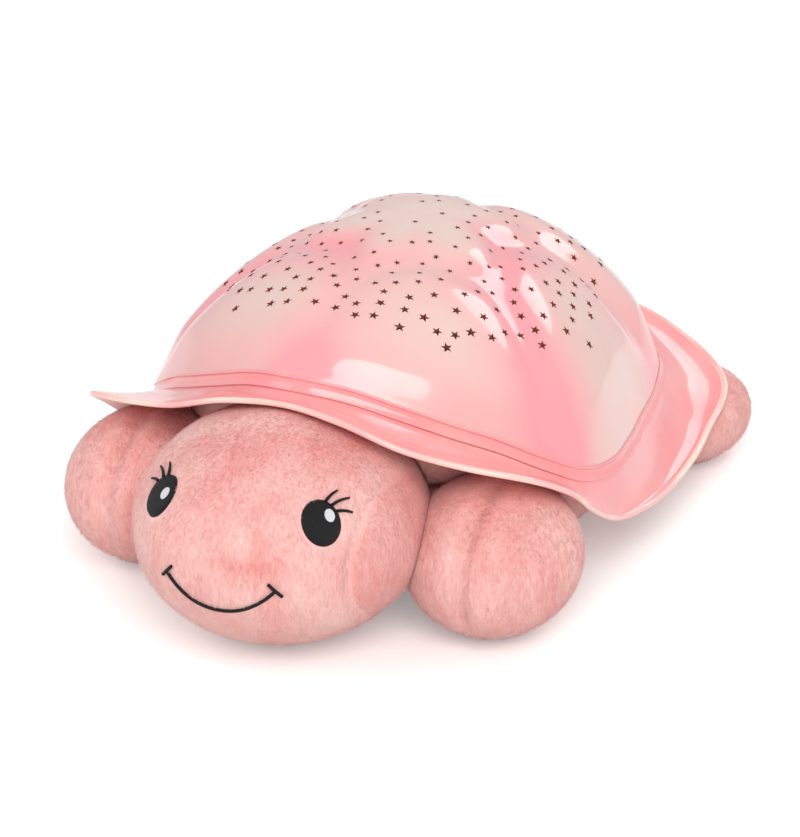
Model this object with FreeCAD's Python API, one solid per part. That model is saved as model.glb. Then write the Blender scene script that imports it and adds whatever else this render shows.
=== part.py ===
import FreeCAD, Part
import math
import os

V = FreeCAD.Vector

# A plush turtle that carries a hard moulded shell. The shell is pierced with stars, and lamps
# below it throw the stars on the ceiling. Millimetres, +Z up, the toy faces -Y and stands on z = 0.
# The origin is the bottom centre of the whole toy.

# Shell: a dome of seven bulging scutes over a low band, with a flared wavy skirt below it.
WALL = 2.2
APEX_Y = 8.0
APEX_Z = 119.5
CAP_RADIUS = 3.0
DOME_POWER = 2.3
DOME_EASE = 0.85
SCUTE_BULGE = 3.4
SCUTE_VALLEY = 8.0
SCUTE_RING = 0.42
SCUTE_RING_WAVE = 0.04
BAND_DROP = 4.6
BAND_OUT = 1.6
SKIRT_FLARE = 1.8
SKIRT_DIP = 0.07

# Stations round the dome foot and round the rim: angle from the front, radius, height.
FOOT_STATIONS = [
    (0, 99, 93), (12, 95.5, 89.5), (24, 94, 82.5), (34, 94.5, 76), (44, 95.5, 69), (54, 98, 60),
    (64, 99.5, 51.5), (76, 96, 47), (90, 91, 46), (105, 90, 45.5), (120, 96, 47.5), (132, 102, 51),
    (146, 101.5, 57), (162, 97, 63), (180, 95, 66)]
RIM_STATIONS = [
    (0, 107.5, 86.5), (12, 112.5, 85), (24, 116.5, 77), (34, 123, 73), (44, 127.5, 68), (54, 119, 55),
    (64, 107, 38), (76, 100, 25), (90, 102, 22.5), (105, 106.5, 22.5), (120, 117, 27), (132, 131, 37),
    (146, 123, 50), (162, 112, 58), (180, 107, 60)]
RING_POINTS = 54
DOME_RINGS = 10
SKIRT_RINGS = 4

# Star holes: one scute's spots as angle from the scute's middle and share of the dome's radius.
STAR_LARGE = 2.3
STAR_SMALL = 1.5
STAR_INNER = 0.42
STAR_SPOTS = [
    (-21, 0.55), (-16, 0.66), (-13, 0.54), (-9, 0.75), (-7, 0.61), (-4, 0.52), (-2, 0.69), (2, 0.58),
    (4, 0.79), (6, 0.49), (9, 0.64), (12, 0.72), (14, 0.56), (18, 0.65), (21, 0.53)]
STAR_TOP_SPOTS = [
    (15, 0.10), (75, 0.19), (110, 0.09), (150, 0.22), (200, 0.13), (240, 0.25), (285, 0.16), (330, 0.24),
    (20, 0.27), (105, 0.29), (175, 0.31), (310, 0.32)]

# Lower case: the round tub that holds the works inside the plush.
CASE_RADIUS = 60.0
CASE_Y = 4.0
CASE_BOTTOM = 9.0
CASE_TOP = 44.0
CASE_WALL = 2.2
CASE_BEVEL = 6.0
FLANGE_OUT = 6.0
FLANGE_THICK = 2.0
POST_RADIUS = 4.0
POST_X = 42.0
POST_Y = 34.0
SCREW_RADIUS = 1.45
SCREW_HEAD_RADIUS = 2.8
SCREW_HEAD_HEIGHT = 2.0
SCREW_CLEARANCE = 0.05
SCREW_BITE = 8.0

# Hem ring, which grips the fabric under the flange.
RING_THICK = 2.2
RING_GAP = 0.3

# Batteries: three small cells side by side in a tray that opens downwards.
CELL_RADIUS = 5.25
CELL_LENGTH = 44.0
CELL_PITCH = 11.2
CELL_COUNT = 3
CELL_NUB_RADIUS = 1.9
CELL_NUB = 0.8
TRAY_GAP = 0.5
TRAY_WALL = 1.6
TRAY_LEDGE = 3.2
CONTACT_ROOM = 3.0
CONTACT_THICK = 0.5
DOOR_THICK = 2.0
DOOR_GAP = 0.3
DOOR_TONGUE = 3.6

# Boards and lamps.
BOARD_RADIUS = 34.0
BOARD_THICK = 1.6
BOARD_Z = 33.0
BOARD_POST_RADIUS = 3.0
BOARD_POST_X = 15.0
BOARD_POST_Y = 27.5
TOWER_RADIUS = 9.0
TOWER_WALL = 1.5
TOWER_HEIGHT = 22.0
LAMP_BOARD_RADIUS = 10.5
LAMP_RADIUS = 2.5
LAMP_HEIGHT = 7.0
LAMP_TIP = 2.0
LAMP_PLACE = 5.0
LAMP_COUNT = 3

# Buttons: four caps in a row low on the back of the dome.
BUTTON_RADIUS = 4.6
BUTTON_GAP = 0.3
BUTTON_FLANGE = 0.9
BUTTON_FLANGE_THICK = 1.2
BUTTON_PITCH = 15.0
BUTTON_PROUD = 1.4
BUTTON_BEVEL = 0.7
BUTTON_TRAVEL = 1.0
BUTTON_SHARE = 0.80
BUTTON_NAMES = ["power_button", "amber_button", "green_button", "blue_button"]
BUTTON_SEAT = 2.6
SWITCH_SIDE = 6.0
SWITCH_HEIGHT = 3.6
PLUNGER_RADIUS = 1.7
PLUNGER_ROOM = 0.3
STEM_RADIUS = 1.8
STEM_DEPTH = 6.5
BUTTON_BOARD_MARGIN = 9.5
BUTTON_BOARD_HALF = 7.0

# Plush: closed forms given by their middle, half sizes and the swell of their sections.
SOFT_GAP = 0.35
FLOOR_CUT = 0.5
BODY_HALF = (77.0, 95.0, 23.0)
HEAD_CENTRE = (0.0, -110.0, 41.0)
HEAD_HALF = (53.6, 56.0, 41.5)
FRONT_FOOT_CENTRE = (70.5, -80.6, 28.7)
FRONT_FOOT_HALF = (32.6, 35.5, 29.2)
REAR_FOOT_CENTRE = (82.0, 90.0, 17.5)
REAR_FOOT_HALF = (24.0, 32.0, 18.0)
TAIL_CENTRE = (0.0, 106.0, 13.5)
TAIL_HALF = (12.0, 22.0, 14.0)
SOFT_STATIONS = 12
SOFT_SIDES = 26
SOFT_END = 0.985
ROUND = 0.7071
FULL = 0.80
BODY_POWER = 2.6

# Belly: the fabric flap over the battery door, closed by a hook and a loop strip.
BELLY_WINDOW = (36.5, 26.0)
FLAP_HALF = (44.0, 33.0)
FLAP_THICK = 2.4
FLAP_LIFT = 0.3
FLAP_GAP = 1.0
HOOK_HALF = (22.0, 2.4)
HOOK_THICK = 0.8
LOOP_THICK = 0.8

LEAD_RADIUS = 0.8
LEAD_WIDTH = 6.0
LEAD_THICK = 1.0

ORIGIN_SHIFT = (HEAD_HALF[1] - HEAD_CENTRE[1] - TAIL_CENTRE[1] - TAIL_HALF[1]) / 2


def lerp(a, b, t):
    return a + (b - a) * t


def station(stations, angle):
    """Radius and height at an angle, smoothly between the stations, the same on both sides."""
    a = abs((angle + 180.0) % 360.0 - 180.0)
    mirrored = [(-s[0], s[1], s[2]) for s in reversed(stations[1:3])]
    beyond = [(360.0 - s[0], s[1], s[2]) for s in reversed(stations[-3:-1])]
    full = mirrored + stations + beyond
    i = max(k for k in range(2, len(full) - 2) if full[k][0] <= a or k == 2)
    i = min(i, len(full) - 3)
    p0, p1, p2, p3 = full[i - 1:i + 3]
    t = (a - p1[0]) / (p2[0] - p1[0])
    values = []
    for k in (1, 2):
        m1 = (p2[k] - p0[k]) / (p2[0] - p0[0]) * (p2[0] - p1[0])
        m2 = (p3[k] - p1[k]) / (p3[0] - p1[0]) * (p2[0] - p1[0])
        t2 = t * t
        t3 = t2 * t
        values.append((2 * t3 - 3 * t2 + 1) * p1[k] + (t3 - 2 * t2 + t) * m1
                      + (3 * t2 - 2 * t3) * p2[k] + (t3 - t2) * m2)
    return values


def bulge(angle, share, radius):
    """Height of the scutes over their valleys."""
    ring = SCUTE_RING + SCUTE_RING_WAVE * math.cos(math.radians(6 * angle))
    to_ring = (share - ring) * radius
    height = 1 - math.exp(-(to_ring / SCUTE_VALLEY) ** 2)
    if share > ring:
        to_valley = share * radius * abs(math.sin(math.radians(3 * angle))) / 3
        height *= 1 - math.exp(-(to_valley / SCUTE_VALLEY) ** 2)
    fade = min(1.0, (1 - share) / 0.14)
    return SCUTE_BULGE * height * fade * fade * (3 - 2 * fade)


def dome_point(angle, share):
    """Outer surface of the dome: share 0 is its top, share 1 its foot."""
    a = math.radians(angle)
    radius, foot = station(FOOT_STATIONS, angle)
    flat = radius * share
    height = foot + (APEX_Z - foot) * (1 - share ** DOME_POWER) ** DOME_EASE
    lean = math.radians(65) * share
    swell = bulge(angle, share, radius)
    flat += swell * math.sin(lean)
    height += swell * math.cos(lean) - SCUTE_BULGE * math.cos(lean) * (1 - share ** 2)
    return V(flat * math.sin(a), APEX_Y * (1 - share) - flat * math.cos(a), height)


def band_point(angle, share):
    """Low band round the dome foot, from the upper ridge to the lower one."""
    a = math.radians(angle)
    radius, foot = station(FOOT_STATIONS, angle)
    flat = radius + BAND_OUT * share
    return V(flat * math.sin(a), -flat * math.cos(a), foot - BAND_DROP * share)


def skirt_point(angle, share):
    """Flared skirt, from the lower ridge to the wavy rim."""
    a = math.radians(angle)
    start = band_point(angle, 1.0)
    radius, height = station(RIM_STATIONS, angle)
    inner = math.hypot(start.x, start.y)
    width = radius - inner
    flat = lerp(inner, radius, share)
    eased = 1 - (1 - share) ** SKIRT_FLARE
    z = lerp(start.z, height, eased) - SKIRT_DIP * width * math.sin(math.pi * share)
    return V(flat * math.sin(a), -flat * math.cos(a), z)


def normal_of(surface, angle, share):
    step = 0.01
    low = max(share - step, 0.02)
    high = min(share + step, 1.0)
    along = surface(angle, high) - surface(angle, low)
    around = surface(angle + 1.0, max(share, low)) - surface(angle - 1.0, max(share, low))
    return around.cross(along).normalize().negative()


def ring_of(surface, share, depth, normal_share=None):
    """Points round the shell at one share, set in from the outer surface by depth."""
    points = []
    for k in range(RING_POINTS):
        angle = 360.0 * k / RING_POINTS
        point = surface(angle, share)
        if depth:
            point = point - normal_of(surface, angle, share if normal_share is None else normal_share) * depth
        points.append(point)
    return points


def closed_face(points):
    """A flat face with straight edges through the points."""
    return Part.Face(Part.makePolygon(points + points[:1]))


def facets_between(first, second):
    """Two flat facets for each step round two rings, split along the shorter diagonal."""
    faces = []
    count = len(first)
    for k in range(count):
        a, b = first[k], first[(k + 1) % count]
        c, d = second[(k + 1) % count], second[k]
        if (a - c).Length < (b - d).Length:
            faces.extend([closed_face([a, b, c]), closed_face([a, c, d])])
        else:
            faces.extend([closed_face([a, b, d]), closed_face([b, c, d])])
    return faces


def facets_through(rings):
    faces = []
    for first, second in zip(rings, rings[1:]):
        faces.extend(facets_between(first, second))
    return faces


def solid_of(faces):
    """The solid that a closed set of facets bounds."""
    shell = Part.makeShell(faces)
    shell.sewShape()
    solid = Part.Solid(shell)
    if solid.Volume < 0:
        solid.reverse()
    return solid


def dome_rings(depth):
    radius = station(FOOT_STATIONS, 90)[0]
    first = CAP_RADIUS / radius
    shares = [first]
    for k in range(1, DOME_RINGS):
        shares.append(lerp(first, 1.0, (k / (DOME_RINGS - 1)) ** 0.9))
    rings = []
    for share in shares[:-1]:
        rings.append(ring_of(dome_point, share, depth))
    top = sum(p.z for p in rings[0]) / RING_POINTS
    rings[0] = [V(p.x, p.y, top) for p in rings[0]]
    rings.append(ring_of(band_point, 0.0, depth, 0.5))
    return rings


def skirt_rings(depth):
    rings = [ring_of(band_point, 1.0, depth, 0.5)]
    for k in range(1, SKIRT_RINGS):
        rings.append(ring_of(skirt_point, k / (SKIRT_RINGS - 1), depth))
    return rings


def shell_skin():
    """The bare moulding: dome, band, skirt and rim, with an even wall."""
    faces = []
    edges = []
    for depth in (0.0, WALL):
        rings = dome_rings(depth) + skirt_rings(depth)
        faces.append(closed_face(rings[0]))
        faces.extend(facets_through(rings))
        edges.append(rings[-1])
    faces.extend(facets_between(*edges))
    return solid_of(faces)


def star_prism(centre, normal, radius, turn):
    """A five-pointed star standing across the wall."""
    side = normal.cross(V(0, 0, 1))
    if side.Length < 0.05:
        side = V(1, 0, 0)
    side.normalize()
    up = side.cross(normal).normalize()
    corners = []
    for k in range(10):
        angle = math.radians(turn + 36.0 * k)
        reach = radius if k % 2 == 0 else radius * STAR_INNER
        corners.append(centre + side * (reach * math.sin(angle)) + up * (reach * math.cos(angle))
                       - normal * (1.8 * WALL))
    face = Part.Face(Part.makePolygon(corners + corners[:1]))
    return face.extrude(normal * (2.8 * WALL))


def star_places():
    """Angle, share, size and turn of every star hole."""
    places = []
    for scute in range(6):
        middle = 30.0 + 60.0 * scute
        mirror = 1 if scute % 2 == 0 else -1
        for n, (offset, share) in enumerate(STAR_SPOTS):
            if scute in (2, 3) and share > 0.70:
                continue
            size = lerp(STAR_SMALL, STAR_LARGE, min(1.0, max(0.0, (share - 0.45) / 0.25)))
            places.append((middle + mirror * offset, share, size, 17.0 * n))
    for n, (angle, share) in enumerate(STAR_TOP_SPOTS):
        places.append((angle, share, STAR_SMALL, 23.0 * n))
    return places


def star_cutters():
    cutters = []
    for angle, share, size, turn in star_places():
        cutters.append(star_prism(dome_point(angle, share), normal_of(dome_point, angle, share), size, turn))
    return cutters


def cylinder(radius, height, base, axis=V(0, 0, 1)):
    return Part.makeCylinder(radius, height, base, axis)


def box_about(half_x, half_y, low, high, centre_x=0.0, centre_y=0.0):
    return Part.makeBox(2 * half_x, 2 * half_y, high - low, V(centre_x - half_x, centre_y - half_y, low))


def cut_beyond(shape, point, normal):
    """Removes what lies past a plane."""
    big = Part.makeBox(200, 200, 200, V(-100, -100, 0))
    big.Placement = FreeCAD.Placement(point, FreeCAD.Rotation(V(0, 0, 1), normal)).multiply(big.Placement)
    return shape.cut(big)


def post_places():
    places = []
    for x in (-POST_X, POST_X):
        for y in (-POST_Y, POST_Y):
            places.append((x, CASE_Y + y))
    return places


def dome_spot(x, y):
    """Angle and share of the dome point over a place on the floor plan."""
    share = 0.5
    angle = 0.0
    for _ in range(30):
        offset = y - APEX_Y * (1 - share)
        angle = math.degrees(math.atan2(x, -offset))
        share = math.hypot(x, offset) / station(FOOT_STATIONS, angle)[0]
    return angle, min(share, 0.999)


def button_spots():
    """Cap centre on the dome for each button, and the one direction that all of them travel."""
    normal = normal_of(dome_point, 180.0, BUTTON_SHARE)
    normal = V(0, normal.y, normal.z).normalize()
    spots = []
    for n in range(len(BUTTON_NAMES)):
        x = (n - (len(BUTTON_NAMES) - 1) / 2) * BUTTON_PITCH
        centre = dome_point(180.0, BUTTON_SHARE)
        angle, share = dome_spot(x, centre.y)
        spots.append(dome_point(angle, share))
    return spots, normal


def button_base():
    """Height along the travel direction of the switch board's outer face."""
    spots, normal = button_spots()
    lowest = min(spot.dot(normal) for spot in spots)
    return lowest - WALL - STEM_DEPTH - SWITCH_HEIGHT


def on_plane(x, centre, normal, level):
    """The point over x whose height along the normal is level, in line with centre."""
    point = V(x, centre.y, centre.z)
    return point + normal * (level - point.dot(normal))


def star_shell():
    solid = shell_skin()
    for x, y in post_places():
        angle, share = dome_spot(x, y)
        wall_point = dome_point(angle, share) - normal_of(dome_point, angle, share) * (WALL / 2)
        post = cylinder(POST_RADIUS, APEX_Z, V(x, y, CASE_TOP))
        post = cut_beyond(post, wall_point, normal_of(dome_point, angle, share))
        bore = cylinder(SCREW_RADIUS + SCREW_CLEARANCE, SCREW_BITE + 1, V(x, y, CASE_TOP))
        solid = solid.fuse(post).cut(bore)
    spots, normal = button_spots()
    cutters = star_cutters()
    for spot in spots:
        cutters.append(cylinder(BUTTON_RADIUS + BUTTON_GAP, 6 * WALL, spot - normal * (3 * WALL), normal))
    base = button_base()
    for x in button_board_posts():
        foot = on_plane(x, spots[0], normal, base)
        angle, share = dome_spot(x, spots[0].y)
        top = dome_point(angle, share)
        wall_normal = normal_of(dome_point, angle, share)
        post = cylinder(POST_RADIUS * 0.75, 40, foot, normal)
        post = cut_beyond(post, top - wall_normal * (WALL / 2), wall_normal)
        solid = solid.fuse(post)
    return solid.cut(Part.makeCompound(cutters))


def button_board_posts():
    edge = (len(BUTTON_NAMES) - 1) / 2 * BUTTON_PITCH + BUTTON_BOARD_MARGIN
    return (-edge, edge)


def button_cap(index):
    spots, normal = button_spots()
    spot = spots[index]
    base = button_base()
    top = spot.dot(normal) + BUTTON_PROUD
    stem_foot = base + SWITCH_HEIGHT + PLUNGER_ROOM
    lip = spot.dot(normal) - WALL - BUTTON_SEAT - BUTTON_FLANGE_THICK
    axis_foot = on_plane(spot.x, spot, normal, stem_foot)
    cap = cylinder(BUTTON_RADIUS, top - lip, on_plane(spot.x, spot, normal, lip), normal)
    crown = [edge for edge in cap.Edges if abs(edge.CenterOfMass.dot(normal) - top) < 0.01]
    cap = cap.makeChamfer(BUTTON_BEVEL, crown)
    flange = cylinder(BUTTON_RADIUS + BUTTON_FLANGE, BUTTON_FLANGE_THICK, on_plane(spot.x, spot, normal, lip), normal)
    stem = cylinder(STEM_RADIUS, lip - stem_foot + 0.5, axis_foot, normal)
    return cap.fuse([flange, stem]).removeSplitter()


def button_board():
    spots, normal = button_spots()
    base = button_base()
    edge = button_board_posts()[1] + BUTTON_BOARD_MARGIN / 2
    plate = Part.makeBox(2 * edge, 2 * BUTTON_BOARD_HALF, BOARD_THICK, V(-edge, -BUTTON_BOARD_HALF, -BOARD_THICK))
    centre = on_plane(0.0, spots[0], normal, base)
    plate.Placement = FreeCAD.Placement(centre, FreeCAD.Rotation(V(0, 0, 1), normal)).multiply(plate.Placement)
    return plate


def tact_switches():
    """One switch under each button: a square body with a round plunger well."""
    spots, normal = button_spots()
    base = button_base()
    bodies = []
    for spot in spots:
        half = SWITCH_SIDE / 2
        body = Part.makeBox(SWITCH_SIDE, SWITCH_SIDE, SWITCH_HEIGHT - BUTTON_TRAVEL - 0.4, V(-half, -half, 0))
        well = cylinder(PLUNGER_RADIUS + 0.2, SWITCH_HEIGHT, V(0, 0, 0.6))
        body = body.cut(well)
        foot = on_plane(spot.x, spot, normal, base)
        body.Placement = FreeCAD.Placement(foot, FreeCAD.Rotation(V(0, 0, 1), normal)).multiply(body.Placement)
        bodies.append(body)
    return Part.makeCompound(bodies)


def switch_plunger(index):
    """The switch's own plunger, which the button's stem pushes."""
    spots, normal = button_spots()
    spot = spots[index]
    base = button_base()
    foot = base + 0.6 + BUTTON_TRAVEL + 0.3
    return cylinder(PLUNGER_RADIUS, base + SWITCH_HEIGHT + PLUNGER_ROOM - foot,
                    on_plane(spot.x, spot, normal, foot), normal)


def screw(x, y, head_z, top_z, points_up=True):
    """A pan-head screw; its head is below its shank when it points up."""
    shank = cylinder(SCREW_RADIUS, abs(top_z - head_z), V(x, y, min(head_z, top_z)))
    head_low = head_z - SCREW_HEAD_HEIGHT if points_up else head_z
    head = cylinder(SCREW_HEAD_RADIUS, SCREW_HEAD_HEIGHT, V(x, y, head_low))
    return shank.fuse(head)


def tray_half():
    """Half sizes of the battery tray's inside, across and along the cells."""
    across = (CELL_COUNT * CELL_PITCH) / 2 + TRAY_GAP
    along = CELL_LENGTH / 2 + CONTACT_ROOM
    return across, along


def tray_roof():
    return CASE_BOTTOM + DOOR_THICK + 2 * CELL_RADIUS + 2 * TRAY_GAP


def window_half():
    across, along = tray_half()
    return across + TRAY_WALL, along + TRAY_WALL


def case_form(gap):
    """The tub's outer form with its bevelled foot, grown by a gap all round."""
    low = CASE_BOTTOM - gap
    foot = Part.makeCone(CASE_RADIUS - CASE_BEVEL + gap, CASE_RADIUS + gap, CASE_BEVEL, V(0, CASE_Y, low))
    return foot.fuse(cylinder(CASE_RADIUS + gap, CASE_TOP - low - CASE_BEVEL, V(0, CASE_Y, low + CASE_BEVEL)))


def lower_case():
    outer = case_form(0.0)
    inner = cylinder(CASE_RADIUS - CASE_WALL, CASE_TOP, V(0, CASE_Y, CASE_BOTTOM + CASE_BEVEL))
    floor = CASE_BOTTOM + CASE_WALL
    inner = inner.fuse(Part.makeCone(CASE_RADIUS - CASE_BEVEL, CASE_RADIUS - CASE_WALL, CASE_BEVEL - CASE_WALL,
                                     V(0, CASE_Y, floor)))
    flange = cylinder(CASE_RADIUS + FLANGE_OUT, FLANGE_THICK, V(0, CASE_Y, CASE_TOP - FLANGE_THICK))
    tub = outer.fuse(flange).cut(inner)
    for x, y in post_places():
        post = cylinder(POST_RADIUS, CASE_TOP - CASE_BOTTOM, V(x, y, CASE_BOTTOM))
        tub = tub.fuse(post.common(outer))
    for x, y in board_post_places():
        tub = tub.fuse(cylinder(BOARD_POST_RADIUS, BOARD_Z - CASE_BOTTOM - CASE_WALL / 2,
                                V(x, y, CASE_BOTTOM + CASE_WALL / 2)))
    across, along = window_half()
    tub = tub.cut(box_about(along + DOOR_GAP, across + DOOR_GAP, CASE_BOTTOM - 1, CASE_BOTTOM + CASE_WALL,
                            0, CASE_Y))
    tub = tub.cut(door_tongue(DOOR_GAP, CASE_WALL + 1, CASE_BOTTOM - 1))
    for x, y in post_places():
        tub = tub.cut(cylinder(SCREW_RADIUS + SCREW_CLEARANCE, CASE_TOP, V(x, y, CASE_BOTTOM)))
        tub = tub.cut(cylinder(SCREW_HEAD_RADIUS + 0.3, 20.0 + SCREW_HEAD_HEIGHT, V(x, y, CASE_BOTTOM - 1)))
    for x, y in board_post_places():
        tub = tub.cut(cylinder(SCREW_RADIUS + SCREW_CLEARANCE, SCREW_BITE + 1, V(x, y, BOARD_Z - SCREW_BITE - 1)))
    return tub.removeSplitter()


def board_post_places():
    places = []
    for x in (-BOARD_POST_X, BOARD_POST_X):
        for y in (-BOARD_POST_Y, BOARD_POST_Y):
            places.append((x, CASE_Y + y))
    return places


def case_screws():
    head_z = CASE_BOTTOM + 19.0 + SCREW_HEAD_HEIGHT
    return Part.makeCompound([screw(x, y, head_z, CASE_TOP + SCREW_BITE) for x, y in post_places()])


def board_screws():
    top = BOARD_Z + BOARD_THICK
    return Part.makeCompound([screw(x, y, top, BOARD_Z - SCREW_BITE, False) for x, y in board_post_places()])


def hem_ring():
    low = CASE_TOP - FLANGE_THICK - RING_GAP - RING_THICK
    outer = cylinder(CASE_RADIUS + FLANGE_OUT, RING_THICK, V(0, CASE_Y, low))
    return outer.cut(cylinder(CASE_RADIUS + RING_GAP, RING_THICK, V(0, CASE_Y, low)))


def circuit_board():
    board = cylinder(BOARD_RADIUS, BOARD_THICK, V(0, CASE_Y, BOARD_Z))
    for x, y in board_post_places():
        board = board.cut(cylinder(SCREW_RADIUS + SCREW_CLEARANCE, BOARD_THICK, V(x, y, BOARD_Z)))
    return board


def lamp_tower():
    """A flanged tube that lifts the lamps towards the middle of the dome."""
    z = BOARD_Z + BOARD_THICK
    tube = cylinder(TOWER_RADIUS, TOWER_HEIGHT, V(0, CASE_Y, z))
    foot = cylinder(TOWER_RADIUS + 3, 1.6, V(0, CASE_Y, z))
    return tube.fuse(foot).cut(cylinder(TOWER_RADIUS - TOWER_WALL, TOWER_HEIGHT, V(0, CASE_Y, z)))


def lamp_board():
    return cylinder(LAMP_BOARD_RADIUS, BOARD_THICK, V(0, CASE_Y, BOARD_Z + BOARD_THICK + TOWER_HEIGHT))


def led_lamps():
    z = BOARD_Z + 2 * BOARD_THICK + TOWER_HEIGHT
    lamps = []
    for k in range(LAMP_COUNT):
        angle = math.radians(90 + 360 * k / LAMP_COUNT)
        x = LAMP_PLACE * math.cos(angle)
        y = CASE_Y + LAMP_PLACE * math.sin(angle)
        collar = cylinder(LAMP_RADIUS + 0.4, 1.0, V(x, y, z))
        body = cylinder(LAMP_RADIUS, LAMP_HEIGHT - LAMP_TIP, V(x, y, z))
        tip = Part.makeCone(LAMP_RADIUS, LAMP_RADIUS / 2, LAMP_TIP, V(x, y, z + LAMP_HEIGHT - LAMP_TIP))
        lamps.append(collar.fuse([body, tip]).removeSplitter())
    return Part.makeCompound(lamps)


def timer_chip():
    z = BOARD_Z + BOARD_THICK
    return box_about(5.0, 3.0, z, z + 1.6, 20, CASE_Y - 14)


def capacitors():
    z = BOARD_Z + BOARD_THICK
    return Part.makeCompound([cylinder(3.0, 8.0, V(-23, CASE_Y - 10 - 9 * k, z)) for k in range(2)])


def cell_rows():
    """Each cell's place across the tray and the end that its nub points to."""
    rows = []
    for k in range(CELL_COUNT):
        y = CASE_Y + (k - (CELL_COUNT - 1) / 2) * CELL_PITCH
        rows.append((y, 1 if k % 2 == 0 else -1))
    return rows


def cell_axis_z():
    return CASE_BOTTOM + DOOR_THICK + TRAY_GAP + CELL_RADIUS


def batteries():
    cells = []
    for y, way in cell_rows():
        z = cell_axis_z()
        cell = cylinder(CELL_RADIUS, CELL_LENGTH - CELL_NUB, V(-way * CELL_LENGTH / 2, y, z), V(way, 0, 0))
        nub = cylinder(CELL_NUB_RADIUS, CELL_NUB + 1, V(way * (CELL_LENGTH / 2 - CELL_NUB - 1), y, z), V(way, 0, 0))
        cells.append(cell.fuse(nub))
    return Part.makeCompound(cells)


def battery_contacts():
    """A springy bent strip at each end of each cell, between the cell and the tray's end wall."""
    leaves = []
    reach = CELL_LENGTH / 2
    for y, _ in cell_rows():
        for end in (-1, 1):
            near = end * (reach + 0.02)
            far = end * (reach + CONTACT_ROOM - 0.02)
            z = cell_axis_z()
            path = [V(far, y, z - 4), V(far, y, z + 4), V(near + end * CONTACT_THICK * 1.2, y, z + 1),
                    V(near + end * CONTACT_THICK, y, z), V(near + end * CONTACT_THICK * 1.2, y, z - 1)]
            inner = [V(near, y, z + 0.4), V(near, y, z - 0.4)]
            outline = [path[0], path[1], path[1] - V(end * CONTACT_THICK, 0, 0), inner[0], inner[1],
                       V(near + end * CONTACT_THICK, y, z - 0.8),
                       V(far - end * CONTACT_THICK, y, z + 2.8), V(far - end * CONTACT_THICK, y, z - 4)]
            face = Part.Face(Part.makePolygon([p - V(0, 3, 0) for p in outline + outline[:1]]))
            leaves.append(face.extrude(V(0, 6, 0)))
    return Part.makeCompound(leaves)


def battery_tray():
    """A box over the cells, open to the door, with a foot ledge on the case floor."""
    across, along = tray_half()
    floor = CASE_BOTTOM + CASE_WALL
    outer = box_about(along + TRAY_WALL, across + TRAY_WALL, floor, tray_roof() + TRAY_WALL, 0, CASE_Y)
    ledge = box_about(along + TRAY_WALL + TRAY_LEDGE, across + TRAY_WALL + TRAY_LEDGE, floor,
                      floor + TRAY_WALL, 0, CASE_Y)
    inside = box_about(along, across, floor - 1, tray_roof(), 0, CASE_Y)
    tray = outer.fuse(ledge).cut(inside)
    x, y = door_screw_place()
    boss = box_about(DOOR_TONGUE, DOOR_TONGUE + 1.5, floor, floor + 7, x, y)
    hole = cylinder(SCREW_RADIUS + 0.3, 8.0, V(x, y, floor - 1))
    return tray.fuse(boss).cut(hole).removeSplitter()


def door_screw_place():
    across, along = tray_half()
    return along + TRAY_WALL + DOOR_TONGUE, CASE_Y


def door_tongue(gap, height, low):
    """The door's rounded screw tongue, or with a gap the notch for it."""
    x, y = door_screw_place()
    half = DOOR_TONGUE + gap
    return cylinder(half, height, V(x, y, low)).fuse(Part.makeBox(half, 2 * half, height, V(x - half, y - half, low)))


def battery_door():
    """The plate that closes the tray, with finger ribs and one screw."""
    across, along = window_half()
    plate = box_about(along, across, CASE_BOTTOM, CASE_BOTTOM + DOOR_THICK, 0, CASE_Y)
    plate = plate.fuse(door_tongue(0.0, DOOR_THICK, CASE_BOTTOM))
    for k in range(3):
        plate = plate.fuse(box_about(0.6, 7.0, CASE_BOTTOM - 0.6, CASE_BOTTOM, -along + 6 + 3 * k, CASE_Y))
    x, y = door_screw_place()
    return plate.cut(cylinder(SCREW_RADIUS + 0.1, DOOR_THICK, V(x, y, CASE_BOTTOM))).removeSplitter()


def battery_door_screw():
    x, y = door_screw_place()
    return screw(x, y, CASE_BOTTOM, CASE_BOTTOM + CASE_WALL + 5.0)


def soft_ring(centre, half, size, y, fullness):
    """Points round one section; fullness is how far its corner reaches, 0.7071 being an ellipse."""
    power = -math.log(2) / math.log(fullness)
    points = []
    for k in range(SOFT_SIDES):
        angle = 2 * math.pi * (k + 0.5) / SOFT_SIDES
        across = math.copysign(abs(math.sin(angle)) ** (2 / power), math.sin(angle))
        up = math.copysign(abs(math.cos(angle)) ** (2 / power), math.cos(angle))
        points.append(V(centre[0] + half[0] * size * across, y, centre[2] + half[2] * size * up))
    return points


def soft_form(centre, half, power=2.0, fullness=ROUND):
    """A stuffed form that swells in the middle and tapers to both ends along Y."""
    rings = []
    for k in range(SOFT_STATIONS + 1):
        t = SOFT_END * math.cos(math.pi * (1 - k / SOFT_STATIONS))
        size = (1 - abs(t) ** power) ** (1 / power)
        rings.append(soft_ring(centre, half, size, centre[1] + half[1] * t, fullness))
    faces = [closed_face(rings[0]), closed_face(rings[-1])] + facets_through(rings)
    form = solid_of(faces)
    return form.cut(Part.makeBox(500, 500, 100, V(-250, -250, -100)))


def moved(shape, x, y, z):
    copy = shape.copy()
    copy.translate(V(x, y, z))
    return copy


def body_form(gap=0.0):
    half = (BODY_HALF[0] + gap, BODY_HALF[1] + gap, BODY_HALF[2] + gap)
    return soft_form((0.0, CASE_Y, BODY_HALF[2] - FLOOR_CUT), half, BODY_POWER, FULL)


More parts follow.
